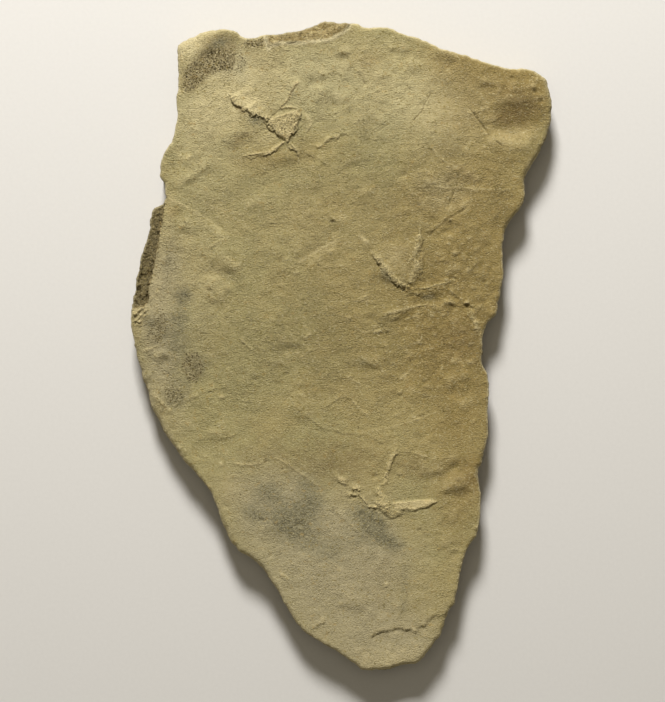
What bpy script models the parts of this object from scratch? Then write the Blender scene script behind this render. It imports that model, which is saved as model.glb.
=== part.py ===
"""Fossil bird footprint slab: one loose piece of thin-bedded siltstone with three raised bird tracks.

The slab lies on its flat back with the track face up. X runs across it, Y towards its wide end and Z up
out of the track face. The origin is the centre of its outline's box, on the surface that it rests on.
"""

import bmesh
import bpy
from mathutils import Vector, noise

MM = 0.001

# Driving dimensions, in millimetres.
THICKNESS = 11.0  # back to track face, in the plain middle of the slab
RIM_ROUNDING = 1.6  # worn rounding of the upper and lower rims
SEAM_LEVELS = (3.5, 7.5)  # heights of the seams between the beds, along the broken sides
SEAM_INSET = 0.9  # how far the sides can be weathered back at a seam
SEAM_LENGTH = 7.0  # a seam is weathered back by more or less about this often
LEDGE_LEVEL = 7.3  # height of the lower bed where it shows beside the left edge
LEDGE_FALL = 1.6  # how much lower that ledge is at its outer side
CHIP_DEPTH = 4.4  # fall of the broken bevel at the top edge, over the reach below
CHIP_REACH = 12.0
FLAKE_LEVEL = 10.4  # height of the tip's surface, where a thin flake has come off
LATTICE = 5.0  # spacing of the track face's mesh
SWELL_HEIGHT = 0.45  # gentle swells of the bedding surface
SWELL_LENGTH = 38.0
TOE_SIDES = 3  # bevel resolution of a toe's round section
CUTTER_TOP = 30.0  # cutters reach this high, well above the face
FLAT = 0.999  # a face whose normal has at least this much Z is flat

# The slab's outline, clockwise from the upper left corner, in millimetres.
OUTLINE = [
    # top edge
    (-51.2, 91.7), (-50.8, 94.2), (-49.4, 95.2), (-46.9, 96.1), (-44.4, 97.7), (-40.9, 98.6), (-38.1, 98.9),
    (-34.7, 98.6), (-32.2, 97.7), (-30.6, 96.2), (-26.2, 96.2), (-24.4, 97.3), (-20.6, 97.5), (-17.5, 98.0),
    (-12.8, 98.6), (-10.3, 99.5), (-6.6, 101.1), (-4.1, 101.7), (2.8, 100.8), (5.9, 100.3), (7.2, 99.5),
    (12.2, 99.5), (15.3, 99.2), (18.4, 97.8),
    # sloping shoulder and upper right corner
    (21.6, 96.7), (25.0, 95.8), (27.8, 94.5), (31.2, 93.0), (34.1, 91.9), (38.1, 90.8), (42.2, 89.8),
    (44.1, 88.9), (50.3, 87.0), (53.4, 86.6), (57.5, 86.6), (60.0, 86.1), (62.5, 84.8), (64.4, 83.0),
    (65.0, 80.5), (65.7, 78.3),
    # scalloped right edge
    (65.8, 75.8), (65.4, 70.2), (64.7, 67.0), (63.4, 63.6), (62.2, 60.5), (59.1, 55.5), (57.8, 53.3),
    (56.9, 52.0), (57.5, 49.8), (57.5, 47.0), (56.9, 44.5), (55.6, 42.3), (51.9, 38.0), (50.9, 35.8),
    (50.5, 33.0), (50.3, 29.2), (50.8, 21.7), (50.0, 17.3), (49.1, 14.2), (48.9, 11.4), (48.4, 9.5),
    (47.2, 8.3), (46.2, 8.0), (45.3, 5.8), (44.4, 3.3), (44.1, -3.0), (43.8, -4.8), (44.4, -6.7),
    (45.3, -8.0), (45.9, -9.5), (46.2, -12.3), (46.2, -15.5),
    # lower right edge
    (45.9, -18.0), (45.6, -20.5), (46.1, -27.0), (45.5, -29.5), (44.7, -32.3), (44.1, -34.8), (43.9, -36.7),
    (43.0, -38.6), (43.0, -41.4), (43.8, -48.3), (43.4, -52.3), (42.8, -57.7), (42.2, -59.5), (40.6, -61.7),
    (39.4, -63.3), (38.1, -68.0), (36.6, -74.2), (35.3, -79.2), (35.3, -80.8), (34.1, -82.3), (32.8, -84.8),
    (31.6, -89.5), (30.6, -91.4), (29.1, -92.3), (27.2, -95.8), (24.7, -98.9),
    # narrow tip
    (22.8, -99.8), (17.5, -100.2), (15.6, -101.1), (12.5, -101.4), (9.7, -101.7), (6.9, -101.6),
    (5.3, -100.2), (0.3, -96.4), (-2.2, -94.8), (-7.2, -92.3), (-8.8, -90.8), (-11.2, -89.5), (-12.8, -88.0),
    # long lower left edge
    (-14.4, -86.1), (-17.2, -81.7), (-18.4, -79.5), (-19.1, -77.7), (-20.3, -75.2), (-24.7, -69.5),
    (-27.8, -66.4), (-30.6, -65.0), (-32.8, -63.3), (-34.7, -60.8), (-37.5, -54.8), (-38.1, -52.0),
    (-39.1, -48.9), (-40.6, -45.8), (-42.2, -43.3), (-47.2, -38.0), (-50.9, -33.6), (-53.1, -30.5),
    (-57.2, -23.3), (-59.1, -19.5), (-60.0, -16.1), (-61.2, -12.0), (-62.8, -7.0), (-64.1, -1.4),
    (-65.0, 3.3),
    # left edge along the ledge of the lower bed
    (-65.6, 6.1), (-65.8, 9.5), (-65.6, 12.7), (-64.4, 18.9), (-64.1, 21.4), (-62.8, 26.7), (-61.9, 30.5),
    (-60.9, 33.0), (-60.0, 36.7), (-59.8, 40.8), (-59.4, 42.7), (-57.2, 43.9), (-55.2, 44.8),
    # left edge above it
    (-54.7, 46.4), (-54.8, 50.8), (-55.9, 52.0), (-56.7, 53.0), (-56.6, 55.5), (-56.2, 58.0), (-55.6, 59.2),
    (-55.0, 61.1), (-53.4, 62.7), (-52.5, 64.5), (-52.0, 67.3), (-51.6, 69.5), (-50.9, 71.4), (-50.9, 73.0),
    (-51.4, 75.5), (-51.6, 78.0), (-50.9, 79.8), (-50.6, 83.0), (-50.9, 89.2),
]

# The upper bed has broken away along this line, down to a ledge of the lower bed.
LEDGE_LINE = [
    (-54.6, 46.6), (-55.3, 43.0), (-55.9, 38.6), (-56.6, 34.5), (-57.2, 30.5), (-58.1, 27.3), (-58.4, 24.2),
    (-59.4, 20.5), (-60.0, 16.7), (-60.3, 13.3), (-62.2, 11.7), (-64.7, 11.4),
]
LEDGE_OUTSIDE = [(-72.0, 10.0), (-72.0, 50.0), (-56.0, 48.0)]

# The broken bevel at the top edge falls away from this line.
CHIP_LINE = [
    (-25.0, 93.6), (-19.1, 94.2), (-12.8, 94.2), (-7.2, 95.2), (-4.1, 95.2), (-1.9, 96.4), (1.2, 98.0),
    (3.4, 99.6),
]
CHIP_OUTSIDE = [(6.0, 106.0), (-28.0, 106.0)]
CHIP_SLOPE_START = 93.4  # Y where the bevel begins to fall

# A thin flake has come off the tip, up to this line.
FLAKE_LINE = [
    (7.0, -95.2), (9.3, -92.3), (10.8, -90.6), (13.3, -89.5), (15.7, -89.1), (18.2, -88.6), (23.0, -88.6),
    (26.5, -87.0), (28.4, -85.3), (31.4, -84.1), (34.6, -82.4),
]
FLAKE_OUTSIDE = [(40.0, -86.0), (40.0, -106.0), (2.0, -106.0), (2.0, -99.0)]

# Each toe is a tapered ridge: the points of its crest line and the half width at each, in millimetres.
TRACKS = {
    "upper_left": [
        [(-33.8, 77.2, 0.9), (-30.6, 75.2, 1.4), (-27.2, 72.7, 1.6), (-22.8, 69.8, 1.6), (-17.2, 64.6, 1.2)],
        [(-16.9, 63.6, 1.0), (-14.8, 61.6, 1.3), (-12.6, 59.6, 0.9)],
        [(-17.8, 63.4, 0.9), (-20.0, 61.7, 1.1), (-22.8, 60.2, 1.0), (-27.0, 59.5, 0.8)],
        [(-21.8, 69.6, 1.2), (-17.6, 71.6, 1.4), (-13.8, 74.0, 1.0)],
        [(-13.4, 73.4, 1.1), (-14.2, 69.6, 1.5), (-17.0, 65.0, 1.2)],
    ],
    "middle_right": [
        [
            (5.6, 33.8, 0.8), (8.3, 30.9, 1.1), (11.6, 27.0, 1.3), (14.4, 23.3, 1.5), (18.3, 19.4, 1.6),
            (21.2, 18.4, 1.5),
        ],
        [(21.0, 19.0, 1.8), (22.7, 22.8, 1.7), (23.3, 27.7, 1.4), (24.1, 31.4, 1.1), (24.8, 35.2, 0.8)],
        [(22.0, 18.2, 1.3), (26.9, 17.9, 1.1), (31.3, 19.1, 1.0), (35.6, 20.5, 0.7)],
    ],
    "lower": [
        [
            (2.6, -45.8, 1.2), (5.9, -47.8, 1.0), (8.4, -49.6, 0.9), (13.0, -51.0, 1.2), (16.6, -51.8, 1.7),
            (18.6, -51.2, 1.5),
        ],
        [
            (17.0, -33.2, 0.7), (15.5, -38.0, 1.1), (13.8, -41.4, 1.1), (12.3, -45.8, 1.2), (14.0, -49.0, 1.6),
            (17.0, -51.0, 1.7),
        ],
        [(15.4, -49.9, 1.4), (19.7, -49.9, 1.5), (25.9, -49.4, 1.4), (29.6, -48.7, 0.8)],
        [(-1.4, -41.3, 1.0), (1.4, -42.9, 1.1)],
    ],
}
TOE_SINK = 0.35  # a toe's centre line lies this share of its half width below the face


def clear_scene():
    """Removes whatever the file holds, so that only this model is left."""
    for thing in list(bpy.data.objects):
        bpy.data.objects.remove(thing)


def collection(name):
    made = bpy.data.collections.new(name)
    bpy.context.scene.collection.children.link(made)
    return made


def face_swell(x, y):
    """Height of the bedding surface's gentle swells at a point, in millimetres."""
    place = Vector((x, y, 0.0)) / SWELL_LENGTH
    return SWELL_HEIGHT * noise.noise(place + Vector((2.0, 5.0, 1.0)))


def to_mesh_object(source, into):
    """Turns a curve object into a welded mesh object of the same name and place."""
    name = source.name
    graph = bpy.context.evaluated_depsgraph_get()
    mesh = bpy.data.meshes.new_from_object(source.evaluated_get(graph))
    made = bpy.data.objects.new(name + "_solid", mesh)
    made.matrix_world = source.matrix_world
    into.objects.link(made)
    bpy.data.objects.remove(source)
    made.name = name
    shape = bmesh.new()
    shape.from_mesh(mesh)
    bmesh.ops.remove_doubles(shape, verts=shape.verts, dist=1e-6)
    bmesh.ops.recalc_face_normals(shape, faces=shape.faces)
    shape.to_mesh(mesh)
    shape.free()
    return made


def extruded_outline(name, points, low, high, into, rounding=0.0):
    """A plate with this outline, from one height to another, all in millimetres, its rims rounded."""
    curve = bpy.data.curves.new(name, "CURVE")
    curve.dimensions = "2D"
    curve.fill_mode = "BOTH"
    curve.extrude = ((high - low) / 2 - rounding) * MM
    curve.bevel_depth = rounding * MM
    curve.bevel_resolution = 1
    curve.offset = -rounding * MM
    line = curve.splines.new("POLY")
    line.points.add(len(points) - 1)
    for point, (x, y) in zip(line.points, points):
        point.co = (x * MM, y * MM, 0.0, 1.0)
    line.use_cyclic_u = True
    plate = bpy.data.objects.new(name, curve)
    plate.location.z = (low + high) / 2 * MM
    into.objects.link(plate)
    bpy.context.view_layer.update()
    return to_mesh_object(plate, into)


def bake_place(thing):
    """Puts an object's place into its mesh, so that its points are in the slab's own frame."""
    thing.data.transform(thing.matrix_world)
    thing.matrix_world.identity()


def merge_end_caps(shape):
    """Joins the triangles that fill each end of the plate into one face."""
    inner = [edge for edge in shape.edges if all(abs(face.normal.z) > FLAT for face in edge.link_faces)]
    bmesh.ops.dissolve_edges(shape, edges=inner, use_verts=False)


def cut_track_face(shape, normal):
    """Cuts the plate's upper end along lines a lattice step apart, square to this direction."""
    reach = max(abs(vert.co.dot(normal)) for vert in shape.verts)
    steps = int(reach / (LATTICE * MM))
    for step in range(-steps, steps + 1):
        upper = {face for face in shape.faces if face.normal.z > FLAT}
        edges = [edge for edge in shape.edges if upper.intersection(edge.link_faces)]
        verts = [vert for vert in shape.verts if upper.intersection(vert.link_faces)]
        bmesh.ops.bisect_plane(
            shape,
            geom=[*verts, *edges, *(face for face in shape.faces if face in upper)],
            dist=1e-7,
            plane_co=normal * step * LATTICE * MM,
            plane_no=normal,
        )


def cut_seams(shape):
    """Cuts the sides along the seams, and weathers them back there by an uneven depth."""
    for level in SEAM_LEVELS:
        bmesh.ops.bisect_plane(
            shape,
            geom=[*shape.verts, *shape.edges, *shape.faces],
            dist=1e-7,
            plane_co=Vector((0.0, 0.0, level * MM)),
            plane_no=Vector((0.0, 0.0, 1.0)),
        )
    shape.normal_update()
    for vert in shape.verts:
        if RIM_ROUNDING + 0.1 < vert.co.z / MM < THICKNESS - RIM_ROUNDING - 0.1:
            share = 0.5 + 0.5 * noise.noise(vert.co / (SEAM_LENGTH * MM))
            vert.co -= vert.normal * SEAM_INSET * share * MM


def make_bed(into):
    """The whole plate of siltstone, before the upper bed's losses are cut from it."""
    plate = extruded_outline("track_slab", OUTLINE, 0.0, THICKNESS, into, RIM_ROUNDING)
    bake_place(plate)
    shape = bmesh.new()
    shape.from_mesh(plate.data)
    merge_end_caps(shape)
    cut_track_face(shape, Vector((1.0, 0.0, 0.0)))
    cut_track_face(shape, Vector((0.0, 1.0, 0.0)))
    cut_seams(shape)
    for vert in shape.verts:
        x, y, z = vert.co / MM
        if z > THICKNESS - RIM_ROUNDING - 0.1:
            vert.co.z += face_swell(x, y) * MM
    bmesh.ops.triangulate(shape, faces=shape.faces)
    shape.to_mesh(plate.data)
    shape.free()
    return plate


def make_ledge_cutter(into):
    """What the upper bed has lost at the left: its floor falls outwards from the broken line."""
    cutter = extruded_outline("ledge_cutter", LEDGE_LINE + LEDGE_OUTSIDE, LEDGE_LEVEL, CUTTER_TOP, into)
    bake_place(cutter)
    inner_x = max(x for x, _ in LEDGE_LINE)
    outer_x = min(x for x, _ in LEDGE_OUTSIDE)
    for vert in cutter.data.vertices:
        if vert.co.z < THICKNESS * MM:
            share = (inner_x - vert.co.x / MM) / (inner_x - outer_x)
            vert.co.z -= LEDGE_FALL * share * MM
    return cutter


def make_chip_cutter(into):
    """The broken bevel at the top edge: its floor starts at the face and falls towards the rim."""
    cutter = extruded_outline("chip_cutter", CHIP_LINE + CHIP_OUTSIDE, THICKNESS, CUTTER_TOP, into)
    bake_place(cutter)
    for vert in cutter.data.vertices:
        if vert.co.z < (THICKNESS + 1.0) * MM:
            share = (vert.co.y / MM - CHIP_SLOPE_START) / CHIP_REACH
            vert.co.z -= (CHIP_DEPTH * share - 0.1) * MM
    return cutter


def make_flake_cutter(into):
    """The thin flake that has come off the tip."""
    cutter = extruded_outline("flake_cutter", FLAKE_LINE + FLAKE_OUTSIDE, FLAKE_LEVEL, CUTTER_TOP, into)
    bake_place(cutter)
    return cutter


def make_toe(name, crest, into):
    """One raised toe: a tapered ridge along its crest line, sunk most of its depth into the face."""
    curve = bpy.data.curves.new(name, "CURVE")
    curve.dimensions = "3D"
    curve.bevel_depth = MM
    curve.bevel_resolution = TOE_SIDES
    curve.use_fill_caps = True
    line = curve.splines.new("POLY")
    line.points.add(len(crest) - 1)
    for point, (x, y, half_width) in zip(line.points, crest):
        z = THICKNESS + face_swell(x, y) - TOE_SINK * half_width
        point.co = (x * MM, y * MM, z * MM, 1.0)
        point.radius = half_width
    ridge = bpy.data.objects.new(name, curve)
    into.objects.link(ridge)
    bpy.context.view_layer.update()
    return to_mesh_object(ridge, into)


def stone_material():
    """Fine tan siltstone, dull and without any metal."""
    made = bpy.data.materials.new("tan_siltstone")
    made.use_nodes = True
    shader = made.node_tree.nodes["Principled BSDF"]
    shader.inputs["Base Color"].default_value = (0.38, 0.31, 0.165, 1.0)
    shader.inputs["Roughness"].default_value = 0.92
    shader.inputs["Metallic"].default_value = 0.0
    return made


def add_boolean(target, tool, operation):
    step = target.modifiers.new(f"{operation.lower()}_{tool.name}", "BOOLEAN")
    step.operation = operation
    step.solver = "EXACT"
    step.object = tool
    tool.hide_render = True
    tool.display_type = "WIRE"


def main():
    clear_scene()
    bpy.context.scene.unit_settings.scale_length = 1.0
    parts = collection("fossil_bird_footprint_slab")
    cutters = collection("slab_tools")
    slab = make_bed(parts)
    for make_cutter in (make_ledge_cutter, make_chip_cutter, make_flake_cutter):
        add_boolean(slab, make_cutter(cutters), "DIFFERENCE")
    for track, toes in TRACKS.items():
        for number, crest in enumerate(toes, 1):
            toe = make_toe(f"{track}_toe_{number}", crest, cutters)
            add_boolean(slab, toe, "UNION")
    slab.data.materials.append(stone_material())


main()
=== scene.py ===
"""Fossil bird footprint slab: the visual model of one loose piece of tan siltstone with three bird tracks.

The track face is built as a height map over a triangle mesh, from named features in millimetres: toes,
creases, ridges, folds, steps, stains and pits. Geometry Nodes then weather the whole stone.
"""

import math

import bmesh
import bpy
import numpy as np
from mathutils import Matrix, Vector
from mathutils.geometry import delaunay_2d_cdt


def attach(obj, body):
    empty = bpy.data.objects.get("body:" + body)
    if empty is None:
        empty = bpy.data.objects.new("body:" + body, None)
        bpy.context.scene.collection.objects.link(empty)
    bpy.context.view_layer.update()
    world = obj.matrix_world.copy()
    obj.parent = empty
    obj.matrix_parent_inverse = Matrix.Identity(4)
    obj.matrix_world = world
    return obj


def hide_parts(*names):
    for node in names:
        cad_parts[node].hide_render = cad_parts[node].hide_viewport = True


bl_info = {
    "name": "Fossil Bird Footprint Slab",
    "version": (1, 0, 0),
    "blender": (4, 5, 0),
    "location": "View3D > Sidebar > Track Slab",
    "description": "Builds a siltstone slab with raised fossil bird tracks, and the stage that it lies on",
    "category": "Add Mesh",
}

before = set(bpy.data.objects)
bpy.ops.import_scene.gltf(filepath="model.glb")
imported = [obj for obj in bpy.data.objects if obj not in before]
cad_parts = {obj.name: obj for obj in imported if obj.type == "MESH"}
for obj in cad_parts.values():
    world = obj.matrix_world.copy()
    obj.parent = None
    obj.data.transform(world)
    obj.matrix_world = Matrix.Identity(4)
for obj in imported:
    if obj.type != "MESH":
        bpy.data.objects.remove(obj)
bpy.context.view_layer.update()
SLAB_NODE = "track_slab"

MM = 0.001

# Sizes of the stone, in millimetres as all below.
FACE_LEVEL = 10.8  # height of the plain track face above the back
OUTLINE_CUT = 1.7  # the CAD slab's outline is read at this height, where its lower bed is widest
LEDGE_LEVEL = 7.2
LEDGE_FALL = 0.22  # fall of the ledge for each millimetre that it goes outwards
LEDGE_SILL = 1.2  # how much higher it is at the foot of its cliff and towards the narrow end
CHIP_FALL = 0.42  # fall of the broken bevel for each millimetre towards the top edge
CHIP_BED = 0.9  # thickness of the beds that the bevel's little steps follow
FLAKE_DEPTH = 0.50
FLAKE_START = 8.5  # where the flake's step begins, along the slab's width
RIM_ROUNDING = 0.8  # width of the rim's rounding where nothing has worn it further
RELIEF_LIMIT = 0.4  # relief taller than this is held back
RELIEF_SPARE = 0.65  # and rises no further than this above it
END_SHARE = 0.25  # how much of its height a feature keeps at its ends

# How fine the mesh is.
CRISP_STEP = 0.40  # spacing of the points along the sharp features
FINE_STEP = 0.27  # on the tracks
RIM_STEP = 0.7  # round the rim
RIM_CLEAR = 0.28  # how near to the rim the face's other points come
RING_STEP = 0.75  # down the broken sides
BACK_STEP = 3.5  # and over the back
LINE_STEP = 0.8  # how closely a feature's line is followed
ROUGH_LINE_STEP = 1.2  # and where only the spacing hangs on it
TRACK_STEPS = 16  # how many of the steps belong to the tracks

# The small relief all over the face.
BUMP_COUNT, CREASE_COUNT, FOLD_COUNT = 3600, 700, 1500  # how many places are tried
# The folds' turn in degrees, at these places along the slab's width.
FOLD_RUN_PLACES, FOLD_RUN_TURNS = (-45.0, -15.0, 5.0, 35.0), (-24.0, -14.0, 6.0, 22.0)
# How rough the face is, from the narrow end to the wide one.
ROUGH_PLACES, ROUGH_SHARES = (-85.0, -45.0, -25.0, 0.0, 100.0), (0.36, 0.38, 0.44, 0.66, 0.62)
# Lumps, finer and finer: size, height.
LUMPS = [(6.0, 0.06), (3.2, 0.055), (1.8, 0.06)]
# Low steps where thin beds have flaked off: size, height, seed.
TERRACES = [(13.0, 0.08, 171), (7.0, 0.065, 172), (3.6, 0.045, 173)]
HOLLOW_CELL = 0.5
HOLLOW_REACH = 8  # in cells, how far round a hollow is measured against
HOLLOW_DEPTH = 0.15  # what counts as fully hollow

# The stage.
CAMERA_HEIGHT = 600.0  # above the track face
VIEW_HEIGHT = 219.4  # what the frame's long side takes in, at the track face
VIEW_CENTRE = (-2.66, -1.72)
SENSOR = 36.0
FLOOR_HALF = 1.5  # half the floor's width, in metres
AIR_TINT, AIR_STRENGTH = (1.0, 0.91, 0.72, 1.0), 0.14  # the light that comes from all round
# Lights: name, place and size in metres, power in watts, tint.
LIGHTS = [
    ("raking_softbox", (-0.105, 0.81, 0.63), 0.225, 17.5, (0.995, 0.99, 0.99)),
    ("overhead_softbox", (-0.10, 0.10, 1.1), 0.8, 1.4, (1.0, 0.93, 0.76)),
]

# ---------------------------------------------------------------------------------------------------------
# The stone's features. Lines run so that a step's or fold's high side is on their left.

# Where the upper bed has broken away, down to the ledge.
LEDGE_LINE = [
    (-54.7, 46.6), (-55.3, 43.0), (-55.9, 38.6), (-56.6, 34.5), (-57.2, 30.5), (-58.1, 27.3),
    (-58.4, 24.2), (-59.4, 20.5), (-60.0, 16.7), (-60.3, 13.3), (-62.2, 11.7), (-65.0, 11.4),
]
LEDGE_OUTSIDE = [(-90.0, 11.0), (-90.0, 52.0), (-55.0, 48.5)]

# Where the top edge has chipped to a bevel.
CHIP_LINE = [
    (-22.8, 92.3), (-21.9, 93.6), (-18.4, 94.4), (-12.8, 94.4), (-7.2, 95.2), (-4.1, 95.2), (-1.9, 96.4),
    (1.2, 98.0), (3.4, 100.5),
]
CHIP_OUTSIDE = [(6.0, 115.0), (-28.0, 115.0)]

# Where a thin flake has come off the tip.
FLAKE_LINE = [
    (6.9, -95.2), (9.3, -92.3), (10.7, -90.6), (13.2, -89.5), (15.7, -89.1), (18.2, -88.6),
    (20.6, -88.8), (23.0, -88.6), (26.5, -87.0), (28.4, -85.3), (31.4, -84.1), (35.9, -81.4),
]
FLAKE_OUTSIDE = [(60.0, -85.0), (60.0, -120.0), (0.0, -120.0)]

# Raised ridges: half width, height, crumbliness from 0 to 1, and the crest line.
TOES = [
    # upper left track
    (0.50, 0.48, 0.5, [(-15.9, 63.0), (-14.7, 62.0), (-13.3, 60.7)]),
    (0.42, 0.40, 0.6, [(-17.7, 63.8), (-19.1, 62.7), (-20.3, 61.7), (-21.7, 61.0)]),
    (0.32, 0.26, 0.6, [(-21.9, 60.8), (-24.1, 60.3), (-26.2, 60.0), (-28.4, 59.6), (-30.3, 59.2)]),
    (0.44, 0.42, 0.3, [(-22.5, 70.4), (-19.7, 71.5), (-16.6, 72.3), (-13.5, 73.5)]),
    (0.36, 0.24, 0.5, [(-19.4, 74.1), (-16.6, 74.5), (-14.1, 74.2), (-13.3, 73.6)]),
    (0.50, 0.26, 0.8, [
        (-13.4, 73.3), (-13.2, 71.4), (-13.7, 69.8), (-14.7, 67.7), (-15.9, 65.5), (-16.6, 63.9),
    ]),
    (0.50, 0.20, 1.0, [(-19.1, 74.2), (-17.5, 75.8), (-16.1, 78.0), (-14.8, 80.2), (-13.4, 82.8)]),
    (0.60, 0.22, 1.0, [(-22.5, 69.5), (-21.2, 68.1), (-19.1, 66.2), (-17.2, 64.7)]),
    # middle right track
    (0.80, 0.12, 0.4, [(5.6, 34.4), (6.9, 33.3), (8.4, 31.9)]),
    (0.80, 0.40, 0.9, [(10.3, 28.8), (12.2, 26.8), (13.8, 24.4), (15.8, 22.0), (18.2, 19.7), (20.6, 18.4)]),
    (0.50, 0.20, 1.0, [(24.5, 36.4), (24.6, 34.5), (24.3, 32.8)]),
    (1.20, 0.38, 1.0, [(24.3, 33.1), (23.9, 31.1), (23.4, 29.2), (22.5, 27.5)]),
    (1.40, 0.38, 0.8, [(22.3, 27.7), (23.1, 26.1), (23.7, 24.2), (23.4, 22.3)]),
    (1.00, 0.30, 0.7, [(23.4, 22.7), (22.2, 20.8), (20.8, 19.4)]),
    (0.34, 0.14, 0.5, [(22.2, 17.8), (27.2, 18.0), (28.8, 18.7), (31.2, 19.3), (35.3, 20.3)]),
    (0.90, 0.08, 0.7, [(40.3, 10.5), (41.6, 8.0), (42.5, 5.8), (43.1, 3.6)]),
    # lower track
    (0.80, 0.14, 0.6, [(-1.1, -41.2), (0.0, -41.7), (1.4, -42.5)]),
    (0.35, 0.14, 0.4, [(1.9, -46.2), (3.3, -46.3)]),
    (0.80, 0.16, 0.6, [(3.4, -44.7), (4.8, -44.5), (5.9, -45.0)]),
    (0.38, 0.24, 0.9, [(5.9, -47.0), (7.7, -48.9), (8.8, -50.0)]),
    (0.45, 0.30, 1.0, [(8.6, -50.2), (10.0, -50.4), (11.1, -50.5)]),
    (0.45, 0.30, 0.6, [(16.7, -33.1), (17.4, -32.3)]),
    (0.80, 0.32, 0.1, [(16.9, -33.5), (15.9, -35.3), (14.9, -37.3), (14.1, -39.2)]),
    (0.85, 0.24, 0.8, [(14.5, -39.7), (14.1, -40.6), (13.7, -41.4)]),
    (0.75, 0.22, 0.8, [(14.1, -42.0), (13.6, -42.8), (13.1, -43.6)]),
    (0.70, 0.24, 0.8, [(11.7, -45.0), (11.9, -47.0), (12.5, -48.9), (14.1, -50.8)]),
]

# Flat pads and broad toes: height, edge softness, crumbliness, paleness, outline.
PADS = [
    (0.50, 0.40, 1.0, 0.85, [
        (-22.8, 70.2), (-19.1, 71.7), (-13.3, 73.7), (-13.1, 70.8), (-13.8, 68.8), (-15.0, 66.7),
        (-16.7, 63.8), (-19.7, 66.2), (-21.7, 68.3),
    ]),
    (0.24, 1.8, 0.0, 0.0, [
        (9.7, 30.5), (13.8, 31.9), (18.4, 32.3), (22.8, 32.0), (24.4, 29.8), (24.1, 25.8), (23.1, 22.0),
        (20.0, 18.6), (15.6, 22.3), (12.2, 26.4),
    ]),
    (0.34, 1.4, 0.15, 0.12, [
        (17.8, 24.2), (19.7, 25.3), (22.2, 25.2), (23.6, 23.6), (23.4, 21.7), (21.9, 20.0), (20.0, 19.5),
        (18.4, 21.1),
    ]),
    (0.34, 0.60, 0.75, 0.0, [
        (11.6, -44.5), (13.4, -46.6), (15.3, -48.9), (15.3, -50.8), (13.8, -52.0), (11.6, -50.5),
        (10.9, -48.9), (11.6, -47.3), (11.4, -45.8),
    ]),
    (0.34, 0.80, 0.5, 0.0, [
        (13.4, -48.6), (15.6, -49.2), (16.2, -50.8), (19.0, -51.2), (18.6, -52.7), (15.9, -53.4),
        (13.9, -52.0),
    ]),
    (0.46, 0.45, 0.0, 0.8, [
        (15.9, -49.1), (17.8, -48.7), (24.1, -48.3), (28.0, -48.1), (29.9, -48.8), (28.0, -49.8),
        (26.4, -50.6), (23.3, -51.3), (19.4, -51.3), (16.9, -51.0),
    ]),
]

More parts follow.
